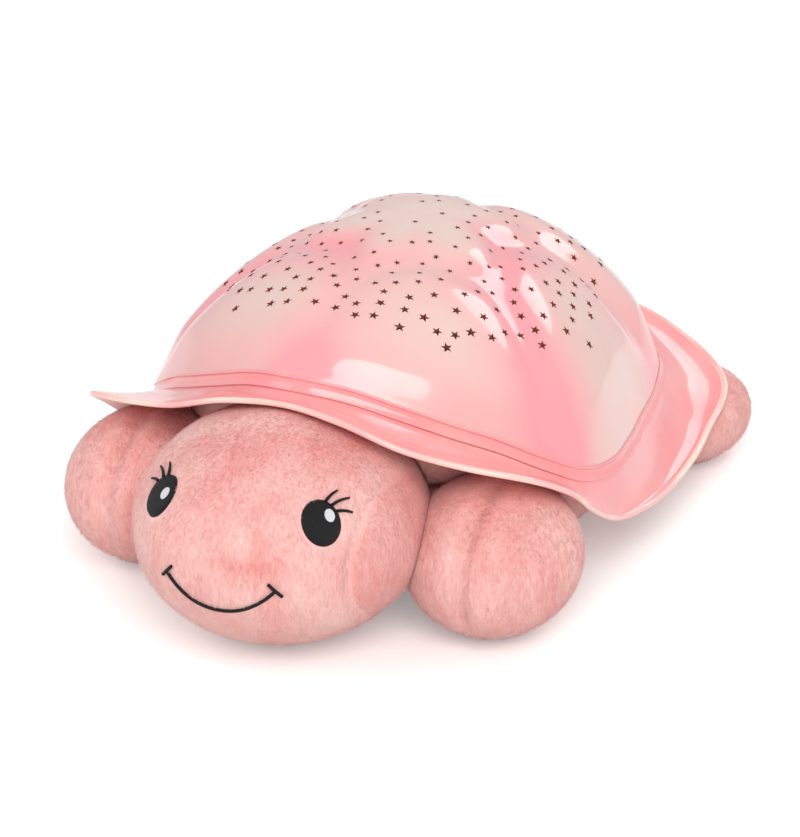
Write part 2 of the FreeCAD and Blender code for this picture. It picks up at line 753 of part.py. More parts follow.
def plush_body():
    """The stuffed body, hollowed for the case and open under the battery door."""
    body = body_form()
    pocket = case_form(SOFT_GAP)
    window = box_about(BELLY_WINDOW[0], BELLY_WINDOW[1], -1, CASE_BOTTOM + 1, 0, CASE_Y)
    recess = box_about(FLAP_HALF[0] + FLAP_GAP, FLAP_HALF[1] + FLAP_GAP, -1, flap_roof(), 0, CASE_Y)
    return body.cut(Part.makeCompound([pocket, flange_room()])).cut(window).cut(recess)


def flap_roof():
    return FLAP_LIFT + FLAP_THICK + HOOK_THICK + SOFT_GAP + LOOP_THICK


def flap_axis():
    """Where the flap's sewn edge turns: a roll along its rear edge."""
    return V(0, CASE_Y + FLAP_HALF[1] - FLAP_THICK / 2, FLAP_LIFT + FLAP_THICK / 2)


def belly_flap():
    axis = flap_axis()
    roll = cylinder(FLAP_THICK / 2, 2 * FLAP_HALF[0], axis - V(FLAP_HALF[0], 0, 0), V(1, 0, 0))
    length = axis.y - CASE_Y + FLAP_HALF[1]
    sheet = Part.makeBox(2 * FLAP_HALF[0], length, FLAP_THICK, V(-FLAP_HALF[0], CASE_Y - FLAP_HALF[1], FLAP_LIFT))
    return sheet.fuse(roll).removeSplitter()


def strip_y():
    return CASE_Y - (BELLY_WINDOW[1] + FLAP_HALF[1]) / 2


def hook_strip():
    low = FLAP_LIFT + FLAP_THICK
    return box_about(HOOK_HALF[0], HOOK_HALF[1], low, low + HOOK_THICK, 0, strip_y())


def loop_strip():
    top = flap_roof()
    return box_about(HOOK_HALF[0], HOOK_HALF[1], top - LOOP_THICK, top, 0, strip_y())


def head_form(gap=0.0):
    return soft_form(HEAD_CENTRE, tuple(h + gap for h in HEAD_HALF))


def flange_room():
    """The space that the case's flange and the hem ring take, with their gap."""
    low = CASE_TOP - FLANGE_THICK - RING_GAP - RING_THICK - SOFT_GAP
    return cylinder(CASE_RADIUS + FLANGE_OUT + SOFT_GAP, CASE_TOP, V(0, CASE_Y, low))


def plush_head():
    return head_form().cut(body_form(SOFT_GAP)).cut(flange_room())


def front_foot(side):
    centre = (side * FRONT_FOOT_CENTRE[0], FRONT_FOOT_CENTRE[1], FRONT_FOOT_CENTRE[2])
    foot = soft_form(centre, FRONT_FOOT_HALF)
    return foot.cut(body_form(SOFT_GAP)).cut(head_form(SOFT_GAP))


def rear_foot(side):
    centre = (side * REAR_FOOT_CENTRE[0], REAR_FOOT_CENTRE[1], REAR_FOOT_CENTRE[2])
    return soft_form(centre, REAR_FOOT_HALF).cut(body_form(SOFT_GAP))


def plush_tail():
    return soft_form(TAIL_CENTRE, TAIL_HALF).cut(body_form(SOFT_GAP))


def battery_leads():
    """Two wires from the tray's roof up to the circuit board."""
    roof = tray_roof() + TRAY_WALL
    leads = []
    for side in (-1, 1):
        x = side * 6.0
        y = CASE_Y + side * 4.0
        leads.append(cylinder(LEAD_RADIUS, BOARD_Z - roof, V(x, y, roof)))
    return Part.makeCompound(leads)


def button_lead():
    """The flat lead from the circuit board to the button board."""
    spots, normal = button_spots()
    start = V(0, CASE_Y + 25.0, BOARD_Z + BOARD_THICK)
    end = on_plane(0.0, spots[0], normal, button_base() - BOARD_THICK)
    route = [start, start + V(0, 0, 12), end - normal * 12, end]
    far = [p + V(0, LEAD_THICK, 0) for p in route]
    ribbon = closed_face(route + far[::-1]).extrude(V(LEAD_WIDTH, 0, 0))
    ribbon.translate(V(-LEAD_WIDTH / 2, 0, 0))
    return cut_beyond(ribbon, end, normal)


def parts():
    shapes = {
        "star_shell": star_shell(),
        "lower_case": lower_case(),
        "hem_ring": hem_ring(),
        "case_screws": case_screws(),
        "circuit_board": circuit_board(),
        "board_screws": board_screws(),
        "lamp_tower": lamp_tower(),
        "lamp_board": lamp_board(),
        "led_lamps": led_lamps(),
        "timer_chip": timer_chip(),
        "capacitors": capacitors(),
        "battery_tray": battery_tray(),
        "batteries": batteries(),
        "battery_contacts": battery_contacts(),
        "battery_leads": battery_leads(),
        "battery_door": battery_door(),
        "battery_door_screw": battery_door_screw(),
        "button_board": button_board(),
        "tact_switches": tact_switches(),
        "button_lead": button_lead(),
        "plush_body": plush_body(),
        "plush_head": plush_head(),
        "front_left_foot": front_foot(1),
        "front_right_foot": front_foot(-1),
        "rear_left_foot": rear_foot(1),
        "rear_right_foot": rear_foot(-1),
        "plush_tail": plush_tail(),
        "belly_flap": belly_flap(),
        "hook_strip": hook_strip(),
        "loop_strip": loop_strip(),
    }
    for index, name in enumerate(BUTTON_NAMES):
        shapes[name] = button_cap(index)
        shapes[name.replace("button", "plunger")] = switch_plunger(index)
    return shapes


def main():
    os.makedirs("parts", exist_ok=True)
    for name, shape in parts().items():
        moved(shape, 0, ORIGIN_SHIFT, 0).exportStep("parts/" + name + ".step")
    spots, normal = button_spots()
    print("origin shift", round(ORIGIN_SHIFT, 3))
    print("button way", [round(c, 5) for c in normal])
    print("flap hinge", [round(c, 3) for c in moved(Part.Vertex(flap_axis()), 0, ORIGIN_SHIFT, 0).Point])
    for spot in spots:
        print("button", [round(c, 3) for c in moved(Part.Vertex(spot), 0, ORIGIN_SHIFT, 0).Point])


main()
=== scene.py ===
import math
import random

import bmesh
import bpy
import numpy as np
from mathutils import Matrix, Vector
from mathutils.bvhtree import BVHTree
from mathutils.geometry import delaunay_2d_cdt


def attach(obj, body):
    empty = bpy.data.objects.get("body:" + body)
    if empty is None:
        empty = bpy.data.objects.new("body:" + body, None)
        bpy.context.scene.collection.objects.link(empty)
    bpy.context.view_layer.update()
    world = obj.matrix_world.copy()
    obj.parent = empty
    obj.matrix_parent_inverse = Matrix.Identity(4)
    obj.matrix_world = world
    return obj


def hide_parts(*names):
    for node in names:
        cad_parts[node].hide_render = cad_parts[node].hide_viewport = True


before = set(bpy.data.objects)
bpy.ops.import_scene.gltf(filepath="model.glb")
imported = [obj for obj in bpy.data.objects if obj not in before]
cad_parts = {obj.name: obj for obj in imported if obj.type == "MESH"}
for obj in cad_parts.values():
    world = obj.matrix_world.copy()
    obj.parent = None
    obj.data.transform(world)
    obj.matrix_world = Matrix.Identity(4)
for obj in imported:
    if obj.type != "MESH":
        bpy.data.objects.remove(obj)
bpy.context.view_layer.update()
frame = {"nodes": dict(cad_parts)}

# A plush turtle with a hard moulded shell pierced with stars. Sizes are millimetres about the
# middle of the shell, as in the CAD source, and place() turns them into the frame's metres.
MM = 0.001
SHIFT_Y = 19.0

# Shell, the same numbers as the CAD source.
WALL = 2.2
APEX_Y = 8.0
APEX_Z = 119.5
DOME_POWER = 2.3
DOME_EASE = 0.85
DOME_LEAN = 65.0
SCUTE_BULGE = 3.4
SCUTE_VALLEY = 8.0
SCUTE_RING = 0.42
SCUTE_RING_WAVE = 0.04
SCUTE_FADE = 0.14
BAND_DROP = 4.6
BAND_OUT = 1.6
SKIRT_FLARE = 1.8
SKIRT_DIP = 0.07
FOOT_STATIONS = [
    (0, 99, 93), (12, 95.5, 89.5), (24, 94, 82.5), (34, 94.5, 76), (44, 95.5, 69), (54, 98, 60),
    (64, 99.5, 51.5), (76, 96, 47), (90, 91, 46), (105, 90, 45.5), (120, 96, 47.5), (132, 102, 51),
    (146, 101.5, 57), (162, 97, 63), (180, 95, 66)]
RIM_STATIONS = [
    (0, 107.5, 86.5), (12, 112.5, 85), (24, 116.5, 77), (34, 123, 73), (44, 127.5, 68), (54, 119, 55),
    (64, 107, 38), (76, 100, 25), (90, 102, 22.5), (105, 106.5, 22.5), (120, 117, 27), (132, 131, 37),
    (146, 123, 50), (162, 112, 58), (180, 107, 60)]
OUTER_SCUTES = 6
STAR_LARGE = 2.3
STAR_SMALL = 1.5
STAR_INNER = 0.42
STAR_CORNERS = 10
STAR_GROWS_AT = 0.45
STAR_GROWS_OVER = 0.25
STAR_TURN = 17.0
STAR_TOP_TURN = 23.0
REAR_SCUTES = (2, 3)
REAR_STARS_END = 0.70
STAR_SPOTS = [
    (-21, 0.55), (-16, 0.66), (-13, 0.54), (-9, 0.75), (-7, 0.61), (-4, 0.52), (-2, 0.69), (2, 0.58),
    (4, 0.79), (6, 0.49), (9, 0.64), (12, 0.72), (14, 0.56), (18, 0.65), (21, 0.53)]
STAR_TOP_SPOTS = [
    (15, 0.10), (75, 0.19), (110, 0.09), (150, 0.22), (200, 0.13), (240, 0.25), (285, 0.16), (330, 0.24),
    (20, 0.27), (105, 0.29), (175, 0.31), (310, 0.32)]
SCATTER_TRIES = 1500
SCATTER_ROOM = 6.4
SCATTER_SEED = 5
SCATTER_SHARES = (0.15, 0.74)
SCATTER_GROWTH = (0.40, 0.75)
SCATTER_SIZE = 0.92
SCATTER_TURN = 31.0

# Fine mesh of the shell.
AROUND = 360
DOME_STEP = 2.2
DOME_EDGE_RINGS = 4
DOME_EDGE_SHARE = 0.995
CHART_STEPS = 200
CHART_SIDE = 90.0
CHART_NUDGE = 0.5
HOLE_SPREAD = 0.6
HOLE_ROOM = 0.35
MERGE_WITHIN = 1e-5
NORMAL_STEP = 0.01
NORMAL_TURN = 1.0
NORMAL_LEAST = 0.004
LEVEL_ENOUGH = 0.05
RIDGE_STEPS = 4
RIDGE_HIGH = 0.7
RIDGE_LONG = 1.3
UPPER_RIDGE_DROP = 0.22
BAND_STEPS = 4
BAND_HOLLOW = 0.25
BAND_BACK_SHARES = (0.66, 0.33)
SKIRT_STEPS = 16
SKIRT_START = 0.06
SKIRT_BACK_LEAST = 0.02
LIP_STEPS = 8
LIP_BEFORE = 0.96
LIP_FACING = 0.99

# Material slots of the shell.
DOME, SKIRT, INSIDE, HOLE, RIM = range(5)

# Airbrushed pink of the dome.
PINK_WIDE = 18.0
PINK_SHARP = 1.25
PINK_WANDER = 0.6
PINK_UNEVEN = 0.25
WASH_SHARES = (0.62, 1.02)
WASH_DEEP = 0.30
WASH_FRONT = 0.22

# Buttons on the back of the dome.
BUTTON_COUNT = 4
BUTTON_PITCH = 15.0
BUTTON_HOLE = 4.9
BUTTON_SHARE = 0.80
BUTTON_CORNERS = 32
SPOT_ROUNDS = 30

# Plush, the same forms as the CAD source.
CASE_Y = 4.0
BODY_CENTRE = (0.0, CASE_Y, 22.5)
BODY_HALF = (77.0, 95.0, 23.0)
BODY_POWER = 2.6
BODY_FULL = 3.1
HEAD_CENTRE = (0.0, -110.0, 41.0)
HEAD_HALF = (53.6, 56.0, 41.5)
FRONT_FOOT_CENTRE = (70.5, -80.6, 28.7)
FRONT_FOOT_HALF = (32.6, 35.5, 29.2)
REAR_FOOT_CENTRE = (82.0, 90.0, 17.5)
REAR_FOOT_HALF = (24.0, 32.0, 18.0)
TAIL_CENTRE = (0.0, 106.0, 13.5)
TAIL_HALF = (12.0, 22.0, 14.0)
SOFT_GAP = 0.4
FLANGE_RADIUS = 66.0
FLANGE_LOW = 39.0
FLANGE_ROOM = 1.0
CASE_RADIUS = 60.0
HEAD_LEVELS = 7
FOOT_LEVELS = 6
TAIL_TAPER = 0.35
SETTLE_LOW = 0.35
SETTLE_SOFT = 3.0

# Belly window, the recess of its flap, the hem and the pocket of the case. An edge is how far each
# of its points stands out from the opening, and how high.
BODY_AROUND = 200
BODY_ROWS = 30
BODY_SQUASH = 0.9
BODY_WIDEST = 130.0
SEARCH_ROUNDS = 24
WINDOW_HALF = (37.0, 26.5)
RECESS_HALF = (45.3, 34.3)
WINDOW_POWER = 12
WINDOW_EDGE = ((0.0, 8.6), (0.0, 5.6), (0.6, 4.9))
RECESS_EDGE = ((-0.6, 4.9), (0.0, 4.4), (0.1, 2.2), (1.2, 1.25))
RECESS_BORDER = 1.5
HEM_ROOM = 0.7
HEM_ROUND = (1.0, 0.8)
SEAT_GAP = 0.1
POCKET_ROOM = 0.5
POCKET_TAPER = 5.6
POCKET_LOW = 15.2
POCKET_FLOOR = 8.6

# Belly flap.
FLAP_HALF = (44.0, 33.0)
FLAP_THICK = 2.4
FLAP_THIN = 0.05
FLAP_LOW = 0.3
FLAP_ROUND = 1.6
FLAP_STITCH_IN = 4.0
FLAP_STITCH_WIDE = 0.7
FLAP_STITCH_DEEP = 0.35
FLAP_COLUMNS = 96
FLAP_LINES = 72

# Stuffed collars under the shell: name, first and last angle.
COLLARS = [("plush_collar_front", -66.0, 66.0), ("plush_collar_rear", 130.0, 230.0)]
COLLAR_LOW = 46.0
COLLAR_MIDDLE = 79.0
COLLAR_HALF = 10.0
COLLAR_ROOF_GAP = 2.0
COLLAR_STEPS = 72
COLLAR_AROUND = 28
COLLAR_BLUNT = 5
COLLAR_TIP = 0.02

# Seams and creases of the plush. A fade runs over part of a unit ball's direction.
SEAM_X = 43.0
SEAM_DEEP = 1.3
SEAM_WIDE = 1.5
SEAM_BARE = 0.45
HEAD_SEAM_FADE = (0.25, -0.10)
CREASE_X = 72.0
CREASE_DEEP = 3.2
CREASE_WIDE = 3.6
CREASE_BACK_FADE = (0.35, -0.25)
CREASE_LOW_FADE = (-0.75, -0.30)
FRONT_HEM_Z = 7.0
FRONT_HEM_FADE = (0.20, -0.20)
REAR_HEM_Z = 6.0
TAIL_FADE = (-0.20, 1.0)

# Stitched face.
SIDES = (("left", 1), ("right", -1))
FACE_SHIFT = 2.5
FACE_FRONT = -140.0
FAR_FRONT = -260.0
PATCH_HIGH = 20.0
STITCH = 0.62
EYE_PLACE = (30.5, 61.8)
EYE_HALF = (7.3, 8.6)
EYE_PROUD = 1.3
EYE_ROOM = 0.5
EYE_REACH = 14.0
GLINT_PLACE = (0.42, 0.20)
GLINT_HALF = (2.1, 2.7)
GLINT_PROUD = 1.7
DISC_RINGS = 9
DISC_AROUND = 56
DISC_FLAT = 6
DISC_TURN = 8
DISC_SUNK = 0.15
LASHES = ((62, 6.0), (42, 7.2), (22, 5.4))
LASH_STEPS = 7
LASH_BEND = 0.25
LASH_ROOT = 0.92
LASH_THIN = 0.35
LASH_PROUD = 0.7
SMILE_HALF = 20.5
SMILE_TOP = 40.5
SMILE_LOW = 30.8
SMILE_POWER = 2.2
SMILE_STEPS = 40
SMILE_PROUD = 0.6
SMILE_ROOM = 3.0
SMILE_BARE = 0.9
TICK_HALF = (2.2, 2.4)
TICK_UP = 0.4
TICK_STEPS = 6

# Pile of the plush.
PILE_LONG = 2.3
PILE_LONG_SPREAD = (0.6, 1.15)
PILE_WIDE = 0.34
PILE_LIFT = 0.34
PILE_LIFT_SPREAD = (0.5, 1.5)
PILE_STRAY = 0.22
PILE_DENSE = 2.0
PILE_SUNK = 0.25
PILE_FLOOR = 1.2
PILE_LOWEST = 0.3
SHELL_ROOM = 2.0

# Tints of the pile over the face and the feet.
FACE_TINT = -0.08
FOOT_TINT = 0.05
CROWN_TINT = 0.30
CROWN_RISE = (56.0, 78.0)
CROWN_ACROSS = (50.0, 20.0)
# Deeper pink on the head's side panels: partly their own pile, partly painted shade of the head's sides.
SIDE_TINT_AND_SHADE = 0.34
CHEEK_TINT = -0.14
CHEEK_ACROSS = (22.0, 40.0)
# Painted shade: a soft patch of deeper pink where the snout's bump is shaded.
NOSE_SHADE_TINT = 0.6
NOSE_SHADE_PLACE = (9.0, 49.0)
NOSE_SHADE_HALF = (10.0, 4.0)


def place(x, y, z):
    return Vector((x * MM, (y + SHIFT_Y) * MM, z * MM))


def linked(name, data):
    """A new object in the scene."""
    piece = bpy.data.objects.new(name, data)
    bpy.context.scene.collection.objects.link(piece)
    return piece


def lerp(a, b, t):
    return a + (b - a) * t


def smooth_step(low, high, value):
    t = min(1.0, max(0.0, (value - low) / (high - low)))
    return t * t * (3 - 2 * t)


# Shell surfaces.


def station(stations, angle):
    """Radius and height at an angle, smoothly between the stations, the same on both sides."""
    a = abs((angle + 180.0) % 360.0 - 180.0)
    mirrored = [(-s[0], s[1], s[2]) for s in reversed(stations[1:3])]
    beyond = [(360.0 - s[0], s[1], s[2]) for s in reversed(stations[-3:-1])]
    full = mirrored + stations + beyond
    i = max(k for k in range(2, len(full) - 2) if full[k][0] <= a or k == 2)
    i = min(i, len(full) - 3)
    p0, p1, p2, p3 = full[i - 1:i + 3]
    t = (a - p1[0]) / (p2[0] - p1[0])
    t2 = t * t
    t3 = t2 * t
    values = []
    for k in (1, 2):
        m1 = (p2[k] - p0[k]) / (p2[0] - p0[0]) * (p2[0] - p1[0])
        m2 = (p3[k] - p1[k]) / (p3[0] - p1[0]) * (p2[0] - p1[0])
        values.append((2 * t3 - 3 * t2 + 1) * p1[k] + (t3 - 2 * t2 + t) * m1
                      + (3 * t2 - 2 * t3) * p2[k] + (t3 - t2) * m2)
    return values


def valley_nearness(angle, share, radius, width):
    """1 in a valley between scutes, falling to 0 away from it."""
    ring = SCUTE_RING + SCUTE_RING_WAVE * math.cos(math.radians(OUTER_SCUTES * angle))
    away = 1 - math.exp(-((share - ring) * radius / width) ** 2)
    if share > ring:
        half = OUTER_SCUTES / 2
        to_valley = share * radius * abs(math.sin(math.radians(half * angle))) / half
        away *= 1 - math.exp(-(to_valley / width) ** 2)
    return 1 - away


def dome_point(angle, share):
    """Outer surface of the dome: share 0 is its top, share 1 its foot."""
    a = math.radians(angle)
    radius, foot = station(FOOT_STATIONS, angle)
    flat = radius * share
    height = foot + (APEX_Z - foot) * (1 - share ** DOME_POWER) ** DOME_EASE
    lean = math.radians(DOME_LEAN) * share
    fade = smooth_step(0.0, 1.0, (1 - share) / SCUTE_FADE)
    swell = SCUTE_BULGE * fade * (1 - valley_nearness(angle, share, radius, SCUTE_VALLEY))
    flat += swell * math.sin(lean)
    height += swell * math.cos(lean) - SCUTE_BULGE * math.cos(lean) * (1 - share ** 2)
    return Vector((flat * math.sin(a), APEX_Y * (1 - share) - flat * math.cos(a), height))


def band_point(angle, share):
    """Low band round the dome foot, from the upper ridge to the lower one."""
    a = math.radians(angle)
    radius, foot = station(FOOT_STATIONS, angle)
    flat = radius + BAND_OUT * share
    return Vector((flat * math.sin(a), -flat * math.cos(a), foot - BAND_DROP * share))


def skirt_point(angle, share):
    """Flared skirt, from the lower ridge to the wavy rim."""
    a = math.radians(angle)
    start = band_point(angle, 1.0)
    radius, height = station(RIM_STATIONS, angle)
    inner = math.hypot(start.x, start.y)
    flat = lerp(inner, radius, share)
    eased = 1 - (1 - share) ** SKIRT_FLARE
    z = lerp(start.z, height, eased) - SKIRT_DIP * (radius - inner) * math.sin(math.pi * share)
    return Vector((flat * math.sin(a), -flat * math.cos(a), z))


def normal_of(surface, angle, share):
    """Outward normal of a surface, from points beside it."""
    near = max(share, NORMAL_STEP)
    low = max(share - NORMAL_STEP, NORMAL_LEAST)
    high = min(share + NORMAL_STEP, 1.0)
    along = surface(angle, high) - surface(angle, low)
    around = surface(angle + NORMAL_TURN, near) - surface(angle - NORMAL_TURN, near)
    return -(around.cross(along).normalized())


def scattered_stars(taken):
    """Small stars that fill the ground between the others, evenly scattered."""
    added = []
    chance = random.Random(SCATTER_SEED)
    spots = [dome_point(angle, share) for angle, share, _, _ in taken]
    for n in range(SCATTER_TRIES):
        angle = chance.uniform(0.0, 360.0)
        share = lerp(*SCATTER_SHARES, math.sqrt(chance.random()))
        point = dome_point(angle, share)
        if min((point - spot).length for spot in spots) > SCATTER_ROOM:
            spots.append(point)
            size = lerp(STAR_SMALL, STAR_LARGE, smooth_step(*SCATTER_GROWTH, share))
            added.append((angle, share, size * SCATTER_SIZE, SCATTER_TURN * n))
    return added


def star_places():
    """Angle, share, size and turn of every star hole."""
    places = []
    for scute in range(OUTER_SCUTES):
        middle = 360.0 / OUTER_SCUTES * (scute + 0.5)
        mirror = 1 if scute % 2 == 0 else -1
        for n, (offset, share) in enumerate(STAR_SPOTS):
            if scute in REAR_SCUTES and share > REAR_STARS_END:
                continue
            grown = min(1.0, max(0.0, (share - STAR_GROWS_AT) / STAR_GROWS_OVER))
            size = lerp(STAR_SMALL, STAR_LARGE, grown)
            places.append((middle + mirror * offset, share, size, STAR_TURN * n))
    for n, (angle, share) in enumerate(STAR_TOP_SPOTS):
        places.append((angle, share, STAR_SMALL, STAR_TOP_TURN * n))
    return places + scattered_stars(places)


def dome_spot(x, y):
    """Angle and share of the dome point over a place on the floor plan, closer with each round."""
    share = 0.5
    for _ in range(SPOT_ROUNDS):
        offset = y - APEX_Y * (1 - share)
        angle = math.degrees(math.atan2(x, -offset))
        share = math.hypot(x, offset) / station(FOOT_STATIONS, angle)[0]
    return angle, share


def button_spots():
    """Angle and share of each button, and the one direction that all of them travel."""
    normal = normal_of(dome_point, 180.0, BUTTON_SHARE)
    travel = Vector((0, normal.y, normal.z)).normalized()
    y = dome_point(180.0, BUTTON_SHARE).y
    spots = []
    for n in range(BUTTON_COUNT):
        spots.append(dome_spot((n - (BUTTON_COUNT - 1) / 2) * BUTTON_PITCH, y))
    return spots, travel


class DomeChart:
    """A flat chart of the dome, even in arc length, for laying out its mesh."""

    def __init__(self):
        self.shares = [k / CHART_STEPS for k in range(CHART_STEPS + 1)]
        self.lengths = [0.0]
        for first, second in zip(self.shares, self.shares[1:]):
            step = (dome_point(CHART_SIDE, second) - dome_point(CHART_SIDE, first)).length
            self.lengths.append(self.lengths[-1] + step)
        self.reach = self.lengths[-1]

    def flat(self, angle, share):
        """Chart point of a dome point."""
        length = float(np.interp(share, self.shares, self.lengths))
        a = math.radians(angle)
        return Vector((length * math.sin(a), -length * math.cos(a)))

    def spot(self, point):
        """Angle and share of a chart point."""
        share = float(np.interp(point.length, self.lengths, self.shares))
        return math.degrees(math.atan2(point.x, -point.y)), share

    def near(self, angle, share, offset):
        """Chart point whose dome point is offset from the dome point at angle and share."""
        here = self.flat(angle, share)
        base = dome_point(angle, share)
        step = CHART_NUDGE
        side = dome_point(*self.spot(here + Vector((step, 0)))) - base
        ahead = dome_point(*self.spot(here + Vector((0, step)))) - base
        gram = np.array([[side.dot(side), side.dot(ahead)], [side.dot(ahead), ahead.dot(ahead)]])
        move = np.linalg.solve(gram, [side.dot(offset), ahead.dot(offset)])
        return here + Vector((move[0] * step, move[1] * step))


def star_outline(chart, angle, share, size, turn):
    """Chart points of one five-pointed star, true on the dome's own slope."""
    normal = normal_of(dome_point, angle, share)
    side = normal.cross(Vector((0, 0, 1)))
    if side.length < LEVEL_ENOUGH:
        side = Vector((1, 0, 0))
    side.normalize()
    up = side.cross(normal).normalized()
    outline = []
    for k in range(STAR_CORNERS):
        a = math.radians(turn + 360.0 / STAR_CORNERS * k)
        reach = size if k % 2 == 0 else size * STAR_INNER
        offset = side * (reach * math.sin(a)) + up * (reach * math.cos(a))
        outline.append(chart.near(angle, share, offset))
    return outline


def button_outline(chart, angle, share, travel):
    """Where the button's round way meets the dome."""
    side = Vector((1, 0, 0))
    up = travel.cross(side)
    normal = normal_of(dome_point, angle, share)
    outline = []
    for k in range(BUTTON_CORNERS):
        a = 2 * math.pi * k / BUTTON_CORNERS
        offset = side * (BUTTON_HOLE * math.cos(a)) + up * (BUTTON_HOLE * math.sin(a))
        offset -= travel * (offset.dot(normal) / travel.dot(normal))
        outline.append(chart.near(angle, share, offset))
    return outline


def chart_grid(chart, holes):
    """Chart points in rings about the top, clear of the holes."""
    middles = []
    for hole in holes:
        reach = max((point - hole[0]).length for point in hole) * HOLE_SPREAD + HOLE_ROOM
        middles.append((sum(hole, Vector((0, 0))) / len(hole), reach))
    points = []
    rings = round(chart.reach / DOME_STEP)
    for r in range(rings):
        length = chart.reach * r / rings
        count = max(1, round(2 * math.pi * length / DOME_STEP))
        if r > rings - DOME_EDGE_RINGS:
            count = AROUND
        for k in range(count):
            a = 2 * math.pi * (k + 0.5 * (r % 2)) / count
            point = Vector((length * math.sin(a), -length * math.cos(a)))
            if all((point - middle).length > reach for middle, reach in middles):
                points.append(point)
    return points


def dome_mesh():
    """Dome spots, their triangles, the hole outlines and the foot ring, from a flat triangulation."""
    chart = DomeChart()
    holes = [star_outline(chart, *star) for star in star_places()]
    buttons, travel = button_spots()
    holes += [button_outline(chart, *button, travel) for button in buttons]
    points = [chart.flat(360.0 * k / AROUND, 1.0) for k in range(AROUND)]
    edges = [(k, (k + 1) % AROUND) for k in range(AROUND)]
    outlines = []
    for hole in holes:
        ring = list(range(len(points), len(points) + len(hole)))
        points += hole
        edges += list(zip(ring, ring[1:] + ring[:1]))
        outlines.append(ring)
    points += chart_grid(chart, holes)
    made, _, triangles, origin, _, source = delaunay_2d_cdt(points, edges, outlines, 0, MERGE_WITHIN)
    kept = [corners for corners, hole in zip(triangles, source) if not hole]
    index = {}
    for new, olds in enumerate(origin):
        for old in olds:
            index[old] = new
    foot = [index[k] for k in range(AROUND)]
    outlines = [[index[k] for k in ring] for ring in outlines]
    return [chart.spot(point) for point in made], kept, outlines, foot


def pink_amount(angle, share):
    """How pink the airbrushed dome is: its valleys, and a soft wash towards the foot."""
    radius = station(FOOT_STATIONS, angle)[0]
    wander = 3.0 * math.sin(math.radians(2 * angle + 40)) + 2.0 * math.sin(math.radians(5 * angle))
    valley = valley_nearness(angle + wander * (1 - share) * PINK_WANDER, share, radius, PINK_WIDE)
    spread = 1 - PINK_UNEVEN + PINK_UNEVEN * math.sin(math.radians(3 * angle + 70) + 5 * share)
    wash = smooth_step(*WASH_SHARES, share) * (WASH_DEEP + WASH_FRONT * math.cos(math.radians(angle)))
    return min(1.0, valley ** PINK_SHARP * spread + wash)


class MeshMaker:
    """Collects points, normals, one value a point, faces and materials, then makes one object."""

    def __init__(self):
        self.points = []
        self.normals = []
        self.values = []
        self.faces = []
        self.materials = []

    def add(self, point, normal, value=0.0):
        self.points.append(place(*point))
        self.normals.append(normal)
        self.values.append(value)
        return len(self.points) - 1

    def face(self, corners, material=0):
        self.faces.append(tuple(corners))
        self.materials.append(material)

    def strip(self, first, second, material=0):
        """Quads between two closed rings of points."""
        count = len(first)
        for k in range(count):
            m = (k + 1) % count
            self.face((second[k], second[m], first[m], first[k]), material)

    def build(self, name, materials, attribute=None):
        mesh = bpy.data.meshes.new(name)
        mesh.from_pydata(self.points, [], self.faces)
        for material in materials:
            mesh.materials.append(material)
        mesh.polygons.foreach_set("material_index", self.materials)
        mesh.polygons.foreach_set("use_smooth", [True] * len(self.faces))
        if attribute:
            layer = mesh.attributes.new(attribute, "FLOAT", "POINT")
            layer.data.foreach_set("value", self.values)
        mesh.update()
        mesh.normals_split_custom_set_from_vertices([tuple(n) for n in self.normals])
        return linked(name, mesh)


def ring_normals(rings):
    """Normals of a grid of closed rings, from its own neighbours."""
    count = len(rings[0])
    normals = []
    for r, ring in enumerate(rings):
        before = rings[max(r - 1, 0)]
        after = rings[min(r + 1, len(rings) - 1)]
        row = []
        for k in range(count):
            around = ring[(k + 1) % count] - ring[k - 1]
            row.append(-(around.cross(after[k] - before[k]).normalized()))
        normals.append(row)
    return normals


def ridge_points(base, drop, out):
    """A half-round ridge on the wall, its middle a drop below base."""
    points = []
    for k in range(RIDGE_STEPS + 1):
        t = k / RIDGE_STEPS
        middle = base - Vector((0, 0, RIDGE_LONG * (t - 0.5) + drop))
        points.append(middle + out * (RIDGE_HIGH * math.sin(math.pi * t)))
    return points


def foot_profile(angle):
    """Outer points from the dome's foot over the ridges, the band and the skirt to its rim."""
    a = math.radians(angle)
    out = Vector((math.sin(a), -math.cos(a), 0))
    profile = ridge_points(band_point(angle, 0.0), UPPER_RIDGE_DROP, out)
    for k in range(1, BAND_STEPS):
        t = lerp(RIDGE_LONG / BAND_DROP, 1 - RIDGE_LONG / BAND_DROP, k / BAND_STEPS)
        profile.append(band_point(angle, t) - out * BAND_HOLLOW * math.sin(math.pi * t))
    profile += ridge_points(band_point(angle, 1.0), 0.0, out)
    for k in range(1, SKIRT_STEPS + 1):
        profile.append(skirt_point(angle, lerp(SKIRT_START, 1.0, k / SKIRT_STEPS)))
    return profile


def lip_ring(angle):
    """The rounded edge of the skirt, half a turn from its top face to its underside."""
    tip = skirt_point(angle, 1.0)
    way = (tip - skirt_point(angle, LIP_BEFORE)).normalized()
    normal = normal_of(skirt_point, angle, LIP_FACING)
    half = WALL / 2
    ring = []
    for k in range(1, LIP_STEPS):
        turn = math.pi * k / LIP_STEPS
        ring.append(tip - normal * half + normal * (half * math.cos(turn)) + way * (half * math.sin(turn)))
    return ring


def back_column(angle):
    """Points under the skirt and behind the band, from the rim back to the dome's foot."""
    column = []
    for k in range(SKIRT_STEPS + 1):
        share = 1 - k / SKIRT_STEPS
        normal = normal_of(skirt_point, angle, max(share, SKIRT_BACK_LEAST))
        column.append(skirt_point(angle, share) - normal * WALL)
    for share in BAND_BACK_SHARES:
        column.append(band_point(angle, share) - normal_of(band_point, angle, 0.5) * WALL)
    return column


